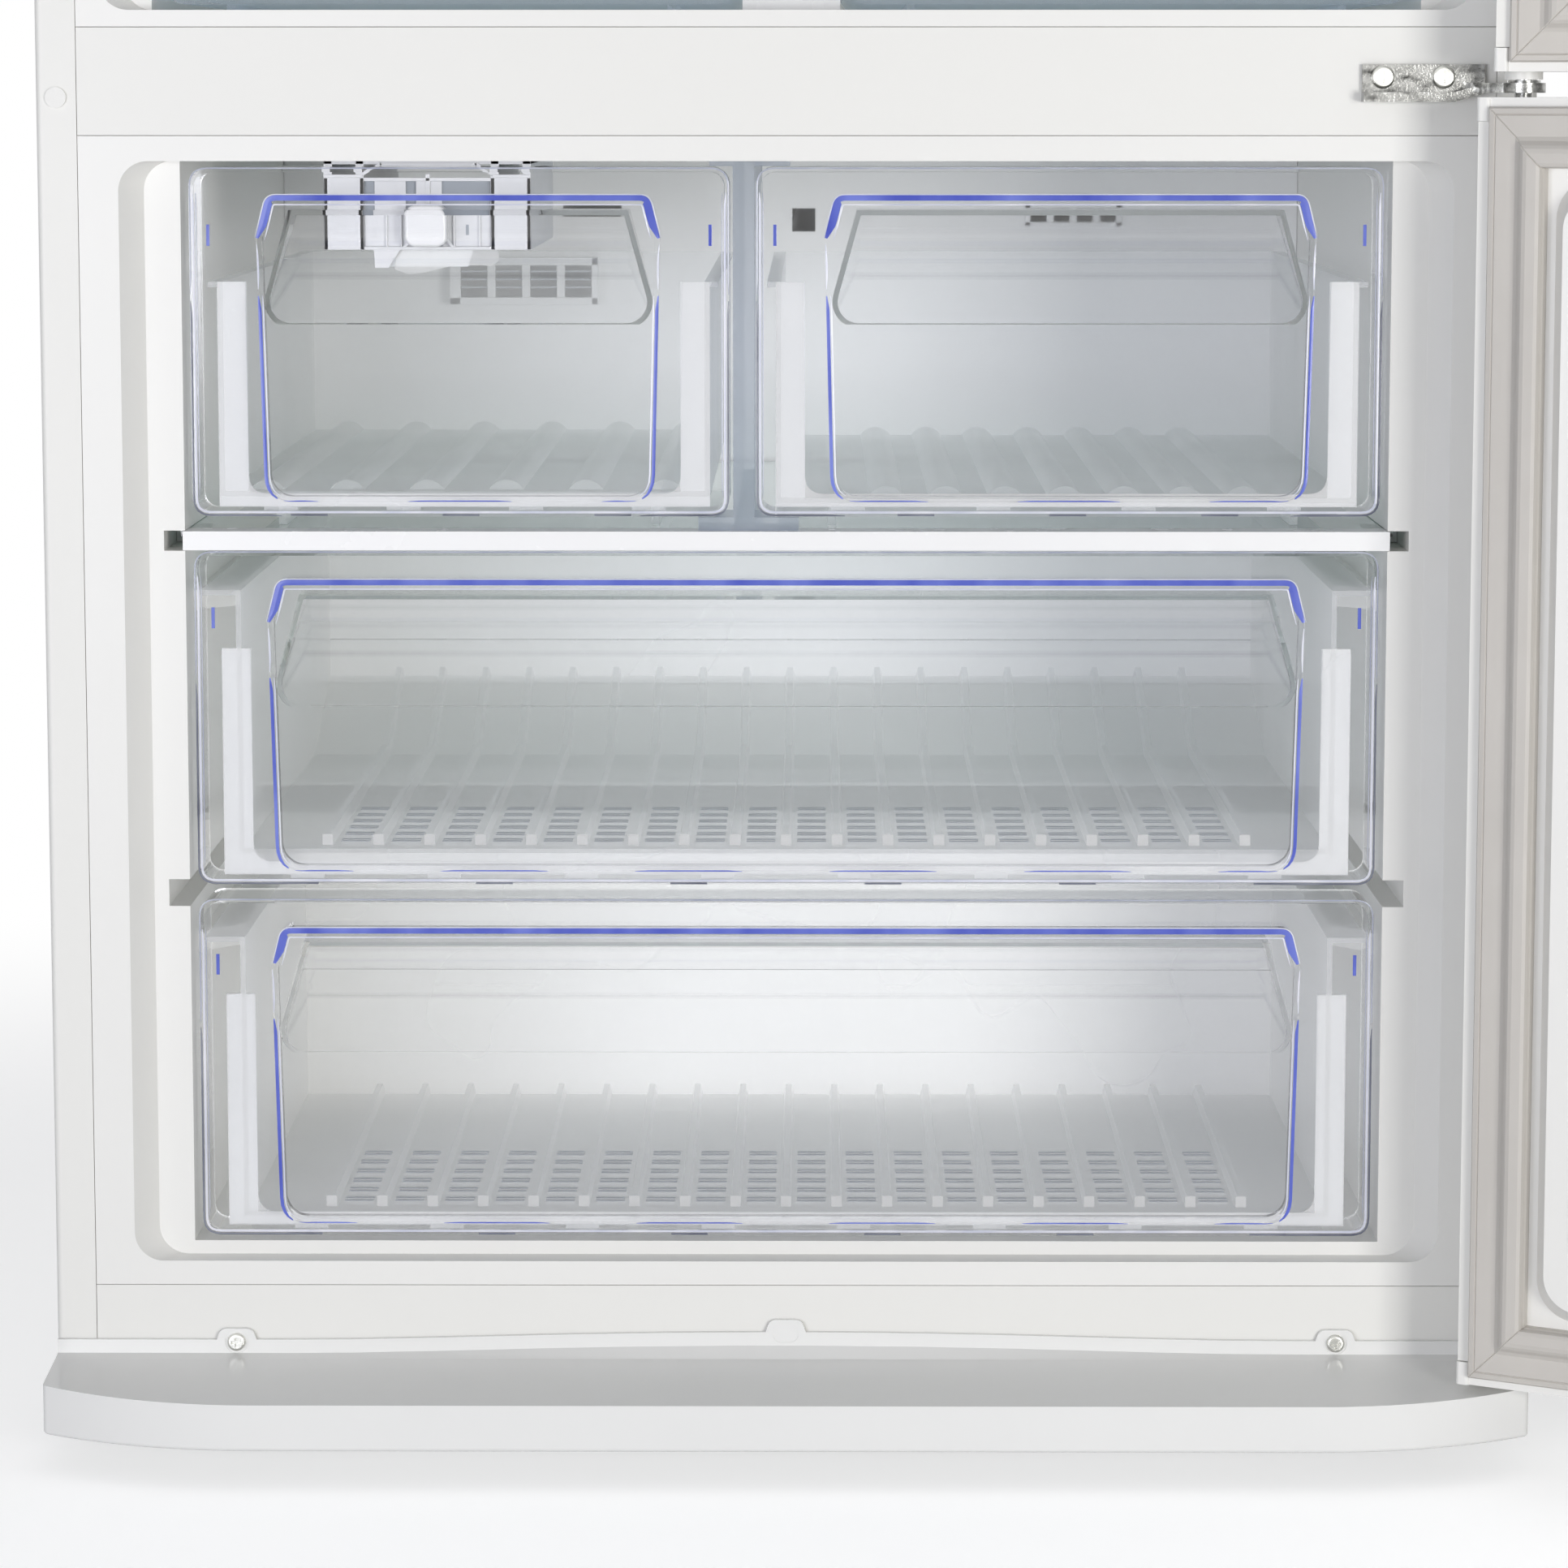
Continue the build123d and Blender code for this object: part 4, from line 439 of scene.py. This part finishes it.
def edge_strip(name, points, width, inset, front, material, body):
    """Strip along part of an outline, with its ends drawn thin; width is a number or gives one by point."""
    vertices = []
    last = len(points) - 1
    for i, point in enumerate(points):
        step = points[min(i + 1, last)] - points[max(i - 1, 0)]
        inward = Vector((step.y, -step.x)).normalized()
        wide = width(point) if callable(width) else width
        wide *= min(1.0, END_WIDTH + END_GROWTH * min(i, last - i))
        for share, depth in ((0, EDGE_T), (0, 0), (0.5, -EDGE_T / 2), (1, 0), (1, EDGE_T)):
            place = point + inward * (inset + wide * share)
            vertices.append((place.x, front + depth, place.y))
    faces = []
    for i in range(last):
        for j in range(5):
            k = (j + 1) % 5
            faces.append((5 * i + j, 5 * i + k, 5 * i + 5 + k, 5 * i + 5 + j))
    faces.append(tuple(range(5)))
    faces.append(tuple(5 * last + j for j in range(5)))
    return new_piece(name, vertices, faces, material, body)


GRIP_TOP_W = 2.6 * MM
GRIP_SHOULDER_W = 3.8 * MM
GRIP_TOP_BAND = 1.5 * MM
LINE_W = 0.7 * MM
SIDE_W = 1.6 * MM
SIDE_FADE = {"upper_left": 26 * MM, "upper_right": 26 * MM, "middle": 24 * MM, "bottom": 24 * MM}
DASH_PITCH = 93 * MM
DASH_REACH = 27 * MM


def bar_width(top):
    """Thin along the top of the panel and wide down its leaning shoulders."""
    def width(point):
        return GRIP_TOP_W if point.y > top - GRIP_TOP_BAND else GRIP_SHOULDER_W
    return width


def front_edges(place):
    """Blue grip bar and side strips with a painted edge glow, the painted highlight lines beside them, and the
    blue dashes along the foot.
    """
    body = f"drawer_{place}"
    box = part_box(f"front_{place}")
    loop, top, knee, foot = panel_loop(box, PANEL_SIDE[place])
    front = box[0].y - EDGE_T
    middle = loop[0].x
    head = runs(loop, lambda p: p.y > knee)[0]
    edge_strip(f"grip_edge_{place}", head, bar_width(top), 0, front, BLUE, body)
    edge_strip(f"grip_highlight_{place}", head, LINE_W, 4.1 * MM, front, PAINTED_HIGHLIGHT, body)
    edge_strip(f"grip_rim_{place}", head, 0.5 * MM, -0.6 * MM, front, PAINTED_HIGHLIGHT, body)
    fade = knee - SIDE_FADE[place]
    sides = runs(loop, lambda p: foot + 1.2 * MM < p.y < fade)
    for word, run in zip(("left", "right"), sides):
        edge_strip(f"side_edge_{word}_{place}", run, SIDE_W, 0, front, BLUE, body)
        edge_strip(f"side_highlight_{word}_{place}", run, LINE_W, 2.1 * MM, front, PAINTED_HIGHLIGHT, body)
    upper_sides = runs(loop, lambda p: fade < p.y < knee)
    for word, run in zip(("left", "right"), upper_sides):
        edge_strip(f"side_rim_{word}_{place}", run, 0.9 * MM, 0.2 * MM, front, PAINTED_HIGHLIGHT, body)
    half = DASH_PITCH / 2
    offset = 0 if place.startswith("upper") else half

    def in_dash(p):
        away = abs((p.x - middle + offset + half) % DASH_PITCH - half)
        return p.y < foot + 0.6 * MM and away < DASH_REACH
    start_late = loop[len(loop) // 2:] + loop[:len(loop) // 2]
    for i, run in enumerate(runs(start_late, in_dash)):
        edge_strip(f"foot_dash_{i + 1}_{place}", run, 0.6 * MM, 0.2 * MM, front, BLUE, body)


SHOULDER_SHARE = 0.62
TOP_CORNER = 12 * MM
LOWER_CORNER = 45 * MM
TAB_X = 9 * MM
TAB_W = 1.6 * MM
TAB_TOP = 27 * MM
TAB_FOOT = 37 * MM
CLIP_W = 17.6 * MM

# Number of clips and their pitch in millimetres
CLIPS = {"upper_left": (3, 72), "upper_right": (3, 72), "middle": (6, 93), "bottom": (6, 93)}


def rim_edges(place):
    """Painted shade, highlight and refraction lines along the rim of a front, with its blue tabs and the clips at
    its foot.
    """
    body = f"drawer_{place}"
    low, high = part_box(f"front_{place}")
    loop = rim_loop((low, high))
    base = low.y + PANEL_RAISE
    face = base - EDGE_T
    middle = (low.x + high.x) / 2
    reach = (high.x - low.x) / 2 - LOWER_CORNER
    shoulder = low.z + SHOULDER_SHARE * (high.z - low.z)
    turn = high.z - TOP_CORNER
    late = loop[len(loop) // 2:] + loop[:len(loop) // 2]

    def lower(p):
        return p.y < shoulder and abs(p.x - middle) > reach
    # Dark lines at the lower corners of the rim: painted shade where the rounded rim bends light
    for word, run in zip(("left", "right"), runs(loop, lower)):
        edge_strip(f"rim_dark_{word}_{place}", run, 0.9 * MM, 0.2 * MM, face, SLATE, body)
    upper = runs(loop, lambda p: p.y >= shoulder)[0]
    edge_strip(f"rim_top_{place}", upper, LINE_W, 0.2 * MM, face, PAINTED_REFRACTION, body)
    below_turn = runs(late, lambda p: p.y < turn)[0]
    edge_strip(f"rim_white_{place}", below_turn, 1.1 * MM, 1.5 * MM, face, PAINTED_HIGHLIGHT, body)
    for word, run in zip(("left", "right"), runs(loop, lambda p: low.z + RIM_R < p.y < turn)):
        edge_strip(f"rim_line_{word}_{place}", run, 0.5 * MM, 3.2 * MM, face, PAINTED_REFRACTION, body)
    tabs = []
    for x in (low.x + TAB_X, high.x - TAB_X):
        z0 = high.z - TAB_FOOT
        z1 = high.z - TAB_TOP
        tabs.append((x - TAB_W / 2, x + TAB_W / 2, base - 0.4 * MM, base, z0, z1))
    bevelled(f"rim_tabs_{place}", tabs, 0.15 * MM, BLUE, body)
    count, pitch = CLIPS[place]
    z0 = low.z + 0.3 * MM
    z1 = low.z + 1.2 * MM
    clips = []
    for x in spread(middle, count, pitch * MM):
        clips.append((x - CLIP_W / 2, x + CLIP_W / 2, base - 0.3 * MM, base, z0, z1))
    bevelled(f"rim_clips_{place}", clips, 0.1 * MM, SLATE, body)


for place in PANEL_SIDE:
    front_edges(place)
    rim_edges(place)


# White corners and lips of the tubs, painted highlights on the ends of their ribs, and painted shade by their
# slots

WHITE_PLASTIC = milky("tub_white", (0.61, 0.61, 0.605), 0.72, 0.92, 0.3, glow=0.15)
# Grey for painted shade: strips by the tubs' slots and the louvres of the air outlet
SHADE = solid("slot_shade", (0.42, 0.44, 0.48), 0.6, vary=0.05)
TUB_WALL = 2.5 * MM

# Left and right, from the ends of the front in to the white corners, in millimetres
TUB_SIDES = {
    "upper_left": (12.5, 9.3),
    "upper_right": (9.3, 10.8),
    "middle": (12.5, 12.5),
    "bottom": (12.5, 12.5),
}

CORNER_W = 14 * MM
CORNER_DROP = 28 * MM
LIP_H = 6 * MM
LIP_R = 9 * MM
RIB_COUNT = 19
RIB_PITCH = 24.5 * MM
RIB_W = 5.2 * MM
RIB_H = 5.4 * MM
RIB_START = 12 * MM
SLOT_ROWS = 6
SLOT_START = 26 * MM
SLOT_PITCH = 20.8 * MM
SLOT_L = 14 * MM
CORNER_FOOT = 4.5 * MM
CORNER_T = 0.8 * MM
FLOOR_ABOVE_FRONT = {"middle": 17 * MM, "bottom": 11 * MM}


def tub_corners(place):
    """White moulding seen through the front: two uprights joined by the lip below the tub's mouth."""
    low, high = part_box(f"front_{place}")
    tub_low, tub_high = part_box(f"tub_{place}")
    left = low.x + TUB_SIDES[place][0] * MM
    right = high.x - TUB_SIDES[place][1] * MM
    top = tub_high.z if place.startswith("upper") else tub_high.z - CORNER_DROP
    foot = low.z + CORNER_FOOT
    inner_left = Vector((left + CORNER_W, foot + LIP_H))
    inner_right = Vector((right - CORNER_W, foot + LIP_H))
    head_left = Vector((left + CORNER_W - 1 * MM, top))
    head_right = Vector((right - CORNER_W + 1 * MM, top))
    outline = [Vector(p) for p in ((left, top), (left, foot), (right, foot), (right, top))]
    outline.append(head_right)
    outline += arc(head_right, inner_right, inner_left, LIP_R)
    outline += arc(inner_right, inner_left, head_left, LIP_R)
    outline.append(head_left)
    near = tub_low.y + TUB_WALL + 0.05 * MM
    body = f"drawer_{place}"
    plate(f"tub_corners_{place}", outline, near, near + CORNER_T, WHITE_PLASTIC, body)


def rib_end_highlights(place):
    """Painted highlights on the front ends of the floor ribs, and a painted shade strip before and behind each
    slot between them.
    """
    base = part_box(f"front_{place}")[0].z + FLOOR_ABOVE_FRONT[place]
    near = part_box(f"tub_{place}")[0].y
    start = near + RIB_START
    body = f"drawer_{place}"
    # Opaque white plates on the ribs' front ends: painted highlights where light falls on them
    ends = []
    for x in spread(0, RIB_COUNT, RIB_PITCH):
        ends.append((x - RIB_W / 2, x + RIB_W / 2, start - 0.6 * MM, start - 0.05 * MM, base, base + RIB_H))
    bevelled(f"rib_end_highlights_{place}", ends, 0.25 * MM, WHITE_PLASTIC, body)
    # Thin grey strips lying on the floor before and behind each slot: painted shade
    shade_patches = []
    for x in spread(0, RIB_COUNT - 1, RIB_PITCH):
        for row in range(SLOT_ROWS):
            y = near + SLOT_START + row * SLOT_PITCH
            for y0, y1 in ((y - 3.2 * MM, y - 0.1 * MM), (y + 2.6 * MM, y + 5.7 * MM)):
                shade_patch = (x - SLOT_L / 2, x + SLOT_L / 2, y0, y1, base + 0.02 * MM, base + 0.22 * MM)
                shade_patches.append(shade_patch)
    bevelled(f"slot_recesses_{place}", shade_patches, 0.08 * MM, SHADE, body)


for place in PANEL_SIDE:
    tub_corners(place)
for place in FLOOR_ABOVE_FRONT:
    rib_end_highlights(place)


# Door gaskets

GASKET_INSET_X = 6 * MM
GASKET_INSET_Z = 4 * MM
DOOR_GAP = 12 * MM
CASE_HALF = 350 * MM
MITRE = 0.5 * MM
MITRE_DIP = 0.5
BUSH_DROP = 3.6 * MM

# Cross-section from the outer edge inwards: distance in, and height off the door, in millimetres
GASKET_SECTION = (
    (0.3, 0.0), (0.2, 3.2), (1.0, 4.5), (3.2, 4.9), (3.7, 4.3), (4.2, 4.9), (9.0, 5.0), (13.6, 5.0),
    (15.5, 6.2), (17.5, 8.8), (19.0, 10.0), (21.0, 10.6), (25.5, 10.6), (27.0, 9.8), (27.6, 8.0),
    (26.4, 6.4), (27.8, 4.6), (27.8, 0.0),
)


def frame_front():
    """Depth of the case's front face."""
    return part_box("outer_case")[0].y


def door_gasket(door, low, high):
    """Mitred ring of magnetic seal, built on the closed door and swung to where the door stands."""
    hinge = next(j for j in frame["joints"] if j["child"] == door)
    pin = Vector(hinge["pos_m"])
    turn = Matrix.Rotation(math.radians(-hinge["range_deg"][0]), 4, "Z")
    swing = Matrix.Translation(pin) @ turn @ Matrix.Translation(-pin)
    x = CASE_HALF - GASKET_INSET_X
    z0 = low + GASKET_INSET_Z
    z1 = high - GASKET_INSET_Z
    corners = (((-x, z0), (1, 1)), ((x, z0), (-1, 1)), ((x, z1), (-1, -1)), ((-x, z1), (1, -1)))
    came_from = [Vector(way) for way in ((0, 1), (-1, 0), (0, -1), (1, 0))]
    base = frame_front() - DOOR_GAP
    rows = []
    for k, ((cx, cz), (ix, iz)) in enumerate(corners):
        going_to = -came_from[(k + 1) % 4]
        for slide, dip in ((came_from[k], 0.0), (Vector((0, 0)), MITRE_DIP), (going_to, 0.0)):
            row = []
            for inset, height in GASKET_SECTION:
                shift = slide * MITRE
                rise = max(0.0, height - dip) * MM
                point = (cx + ix * inset * MM + shift.x, base + rise, cz + iz * inset * MM + shift.y)
                row.append(swing @ Vector(point))
            rows.append(row)
    count = len(GASKET_SECTION)
    vertices = [p for row in rows for p in row]
    faces = []
    for i in range(len(rows)):
        j = (i + 1) % len(rows)
        for k in range(count):
            m = (k + 1) % count
            faces.append((i * count + k, i * count + m, j * count + m, j * count + k))
    piece = new_piece(f"{door}_seal", vertices, faces, SLOTS["gasket_grey"], door)
    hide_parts(f"{door}_gasket")


for door in ("lower_door", "upper_door"):
    door_gasket(door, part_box(f"{door}_caps")[0].z + BUSH_DROP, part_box(f"{door}_caps")[1].z)


# Ice maker

ICE_WHITE = solid("ice_white", (0.70, 0.705, 0.72), 0.35, vary=0.015, relief=0.00003)
ICE_SHADE = solid("ice_shade", (0.27, 0.30, 0.34), 0.5, vary=0.06)
ICE_MILKY = milky("ice_milky", (0.80, 0.80, 0.79), 0.55, 0.85, 0.3)

# Sizes in millimetres, from the lower left corner of the housing
CHEEK_W = 19.2
CHEEK_H = 34.7
CHEEK_LEDGE = 36.2
WALL_T = 2.0
HEAD_RAIL = 33
MID_RAIL = 16.6
MID_RAIL_TOP = 18.3
FOOT_RAIL_TOP = 1.5
BRACES = ((38, 1, 43.5, 7), (62, 1, 56.5, 7), (18.2, 36, 27.5, 41.5), (81, 36, 72.5, 41.5), (27, 41, 73, 41))
BRACE_W = 1.3
TAB = ((23.7, 0), (36.2, 0), (30.7, -8.7), (24.2, -8.7))
SCOOP = ((34, 0), (83, 0), (83.5, -5), (80, -8), (74, -7.5), (60, -8), (48, -11), (40, -12), (33.5, -9.5))


def slanted(x0, z0, x1, z1, wide):
    """Outline of a straight bar that leans from one point to another."""
    a = Vector((x0, z0)) * MM
    b = Vector((x1, z1)) * MM
    side = (b - a).normalized().orthogonal() * wide * MM / 2
    return [a - side, a + side, b + side, b - side]


def ice_maker():
    """Housing with windows between its cheeks, posts and shallow panels, in place of the plain one, with painted
    shade behind its windows.
    """
    low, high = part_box("ice_maker_frame")
    corner = Vector((low.x, low.z))
    near = low.y
    deep = (high.y - near) / MM
    width = (high.x - low.x) / MM
    tall = (high.z - low.z) / MM
    inner = CHEEK_W
    end = width - CHEEK_W

    def bar(x0, x1, z0, z1, depth=WALL_T, behind=0.0):
        start = near + behind * MM
        return (low.x + x0 * MM, low.x + x1 * MM, start, start + depth * MM, low.z + z0 * MM, low.z + z1 * MM)

    boxes = []
    for x0, x1 in ((0, inner), (end, width)):
        boxes.append(bar(x0, x1, 0, CHEEK_H))
        boxes.append(bar(x0, x1, CHEEK_H, CHEEK_LEDGE, 2.6, -0.4))
        boxes.append(bar(x0 + 1.5, x0 + 4, CHEEK_LEDGE, tall))
        boxes.append(bar(x1 - 4, x1 - 1.5, CHEEK_LEDGE, tall))
        boxes.append(bar(x0, x0 + WALL_T, 0, tall, deep))
        boxes.append(bar(x1 - WALL_T, x1, 0, tall, deep))
    boxes.append(bar(0, width, tall - WALL_T, tall, deep))
    for z0, z1 in ((HEAD_RAIL, CHEEK_H), (MID_RAIL, MID_RAIL_TOP), (0, FOOT_RAIL_TOP)):
        boxes.append(bar(inner, end, z0, z1, 3.5))
    for x0, x1 in ((24.2, 39.2), (50.8, 56.4)):
        boxes.append(bar(x0, x1, MID_RAIL_TOP, HEAD_RAIL, 1, 1.2))
    boxes.append(bar(44.1, 48.6, MID_RAIL_TOP, HEAD_RAIL, 1, 0.5))
    boxes.append(bar(48.6, 50.8, MID_RAIL_TOP, 36.5, 2.2))
    for x0, x1 in ((inner, 36.5), (62.6, end)):
        boxes.append(bar(x0, x1, FOOT_RAIL_TOP, MID_RAIL, 1, 1.6))
    for x in (29.5, 36.5, 61.8, 74.0):
        boxes.append(bar(x, x + 0.8, FOOT_RAIL_TOP, MID_RAIL, 2.4))
    for x0, x1 in ((37.3, 43.5), (56.5, 61.8)):
        boxes.append(bar(x0, x1, FOOT_RAIL_TOP, MID_RAIL, 1, 1.9))
    housing = bevelled("ice_maker_housing", boxes, 0.25 * MM, ICE_WHITE, "cabinet")
    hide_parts("ice_maker_frame")

    # Dark grey panels behind the windows and a small dark slot: painted shade inside the housing
    dark = [
        bar(inner, end, MID_RAIL_TOP, HEAD_RAIL, 0.6, 2.4),
        bar(43.5, 56.5, FOOT_RAIL_TOP, MID_RAIL, 0.6, 2.9),
        bar(67.8, 69.2, 7, 12, 0.3, 1.4),
    ]
    bevelled("ice_maker_shade", dark, 0.1 * MM, ICE_SHADE, "cabinet")

    y0 = near - 0.4 * MM
    y1 = near + 1.2 * MM
    for i, ends in enumerate(BRACES):
        outline = [corner + p for p in slanted(*ends, BRACE_W)]
        plate(f"ice_maker_brace_{i + 1}", outline, y0, y1, ICE_WHITE, "cabinet")
    tab = [corner + Vector(p) * MM for p in TAB]
    plate("ice_maker_tab", tab, near + 0.5 * MM, near + 1.7 * MM, ICE_WHITE, "cabinet")
    scoop = [corner + Vector(p) * MM for p in SCOOP]
    plate("ice_maker_scoop", scoop, near + 2.2 * MM, near + 3.6 * MM, ICE_MILKY, "cabinet")


ice_maker()


# Air outlets in the rear wall, in millimetres from the middle and down from the top of their cover

OUTLET_RIM = ((-191, -108, 61, 65), (-191, -108, 83, 87), (-191, -185, 61, 87), (-111.5, -108, 61, 87))
OUTLET_POSTS = (-170, -150.5, -131)
POST_W = 4.5
LOUVRES = (68, 72.5, 77)
RIGHT_FRAME = ((132, 186, 31, 33), (132, 186, 41, 43), (132, 135, 31, 43), (183, 186, 31, 43))
RIGHT_RECESS = 12


def air_outlets():
    """Raised rim and posts of the left outlet, its louvres in the painted slot shade, and the frame of the right
    one.
    """
    low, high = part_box("evaporator_cover")
    top = high.z
    near = low.y
    wall = near + RIGHT_RECESS * MM
    white = SLOTS["cover_grey"]
    rim = []
    for x0, x1, z0, z1 in OUTLET_RIM:
        rim.append((x0 * MM, x1 * MM, near - 1.2 * MM, near, top - z1 * MM, top - z0 * MM))
    for x in OUTLET_POSTS:
        rim.append((x * MM, (x + POST_W) * MM, near - 0.8 * MM, near, top - 83 * MM, top - 65 * MM))
    bevelled("outlet_rim", rim, 0.35 * MM, white, "cabinet")
    # Louvres coloured with the painted shade grey of the slots
    louvres = []
    for z in LOUVRES:
        z0 = top - (z + 1) * MM
        louvres.append((-188 * MM, -110.5 * MM, near + 3 * MM, near + 6 * MM, z0, top - z * MM))
    bevelled("outlet_louvres", louvres, 0.2 * MM, SHADE, "cabinet")
    frames = []
    for x0, x1, z0, z1 in RIGHT_FRAME:
        frames.append((x0 * MM, x1 * MM, wall - 1.5 * MM, wall, top - z1 * MM, top - z0 * MM))
    bevelled("outlet_frame_right", frames, 0.3 * MM, white, "cabinet")


air_outlets()


# Floor, light and camera

FLOOR_LIFT = 0.50
FLOOR_HALF = 12.0
FADE_START = 0.7
FADE_END = 1.6
STUDIO_TINT = (0.95, 0.96, 1.0)
STUDIO_STRENGTH = 0.29
CAMERA_PLACE = (0.013, -2.355, 0.647)
CAMERA_LENS = 112.57
CAMERA_SHIFT = -0.07
CAMERA_PITCH = 0.1190
CAMERA_TURN = 0.006


def floor_material():
    """White floor that keeps the soft shadow round the object and is plain white further out."""
    s = Shader("floor_white")
    cloud = s.noise(1.5, 1.0)
    links = {
        "Base Color": s.blend(cloud, (0.83, 0.83, 0.83), (0.85, 0.85, 0.85)),
        "Roughness": s.ramp(cloud, 0.75, 0.85),
    }
    matte = s.add("ShaderNodeBsdfPrincipled", links).outputs[0]
    lift = s.add("ShaderNodeEmission", Strength=FLOOR_LIFT).outputs[0]
    near = s.add("ShaderNodeAddShader", {0: matte, 1: lift}).outputs[0]
    white = s.add("ShaderNodeEmission", Strength=1.0).outputs[0]
    away = s.add("ShaderNodeVectorMath", {0: s.place}, operation="LENGTH").outputs["Value"]
    fade = s.add("ShaderNodeMapRange", {"Value": away}, interpolation_type="SMOOTHSTEP")
    fade.inputs["From Min"].default_value = FADE_START
    fade.inputs["From Max"].default_value = FADE_END
    seen = s.mix(fade.outputs["Result"], near, white)
    ray = s.add("ShaderNodeLightPath").outputs
    looks = s.add("ShaderNodeMath", {0: ray["Is Camera Ray"], 1: ray["Is Glossy Ray"]}, operation="MAXIMUM")
    looks = s.add("ShaderNodeMath", {0: looks.outputs[0], 1: ray["Is Transmission Ray"]}, operation="MAXIMUM")
    return s.finish(s.mix(looks.outputs[0], matte, seen))


def floor():
    """Plain square floor under the object."""
    corners = [(x * FLOOR_HALF, y * FLOOR_HALF, 0) for x, y in ((-1, -1), (1, -1), (1, 1), (-1, 1))]
    mesh = bpy.data.meshes.new("floor")
    mesh.from_pydata(corners, [], [(0, 1, 2, 3)])
    mesh.materials.append(floor_material())
    ground = bpy.data.objects.new("floor", mesh)
    bpy.context.scene.collection.objects.link(ground)


def world_light():
    """Even studio light, with a plain white background for camera, glossy and transmission rays."""
    world = bpy.data.worlds.new("studio")
    bpy.context.scene.world = world
    world.use_nodes = True
    tree = world.node_tree
    tree.nodes.clear()
    ray = tree.nodes.new("ShaderNodeLightPath")
    seen = tree.nodes.new("ShaderNodeMath")
    seen.operation = "MAXIMUM"
    tree.links.new(ray.outputs["Is Camera Ray"], seen.inputs[0])
    tree.links.new(ray.outputs["Is Glossy Ray"], seen.inputs[1])
    also = tree.nodes.new("ShaderNodeMath")
    also.operation = "MAXIMUM"
    tree.links.new(seen.outputs[0], also.inputs[0])
    tree.links.new(ray.outputs["Is Transmission Ray"], also.inputs[1])
    light = tree.nodes.new("ShaderNodeBackground")
    light.inputs["Color"].default_value = (*STUDIO_TINT, 1)
    light.inputs["Strength"].default_value = STUDIO_STRENGTH
    white = tree.nodes.new("ShaderNodeBackground")
    white.inputs["Color"].default_value = (1, 1, 1, 1)
    white.inputs["Strength"].default_value = 1.0
    mix = tree.nodes.new("ShaderNodeMixShader")
    out = tree.nodes.new("ShaderNodeOutputWorld")
    tree.links.new(also.outputs[0], mix.inputs[0])
    tree.links.new(light.outputs[0], mix.inputs[1])
    tree.links.new(white.outputs[0], mix.inputs[2])
    tree.links.new(mix.outputs[0], out.inputs["Surface"])


def area_light(name, place, target, width, height, power, colour):
    """Rectangular lamp turned to a target."""
    data = bpy.data.lights.new(name, "AREA")
    data.shape = "RECTANGLE"
    data.size = width
    data.size_y = height
    data.energy = power
    data.color = colour
    lamp = bpy.data.objects.new(name, data)
    lamp.location = place
    lamp.rotation_euler = (Vector(target) - Vector(place)).to_track_quat("-Z", "Y").to_euler()
    bpy.context.scene.collection.objects.link(lamp)


def camera():
    """The photograph's place and lens: level with the centre rail and tipped down to the freezer."""
    data = bpy.data.cameras.new("camera")
    data.sensor_width = 36.0
    data.lens = CAMERA_LENS
    data.shift_y = CAMERA_SHIFT
    data.clip_start = 0.05
    data.clip_end = 50.0
    cam = bpy.data.objects.new("camera", data)
    cam.location = CAMERA_PLACE
    cam.rotation_euler = (math.pi / 2 - CAMERA_PITCH, 0, CAMERA_TURN)
    bpy.context.scene.collection.objects.link(cam)
    bpy.context.scene.camera = cam


floor()
world_light()
area_light("key", (1.5, -3.0, 0.52), (0, 0, 0.3), 0.9, 0.9, 43.0, (1.0, 0.99, 0.965))
area_light("fill", (-1.5, -3.0, 0.55), (0, 0, 0.3), 1.8, 1.0, 40.0, (0.92, 0.93, 1.0))
camera()
scene = bpy.context.scene
scene.view_settings.view_transform = "Standard"
scene.cycles.transparent_max_bounces = 24
scene.cycles.diffuse_bounces = 8
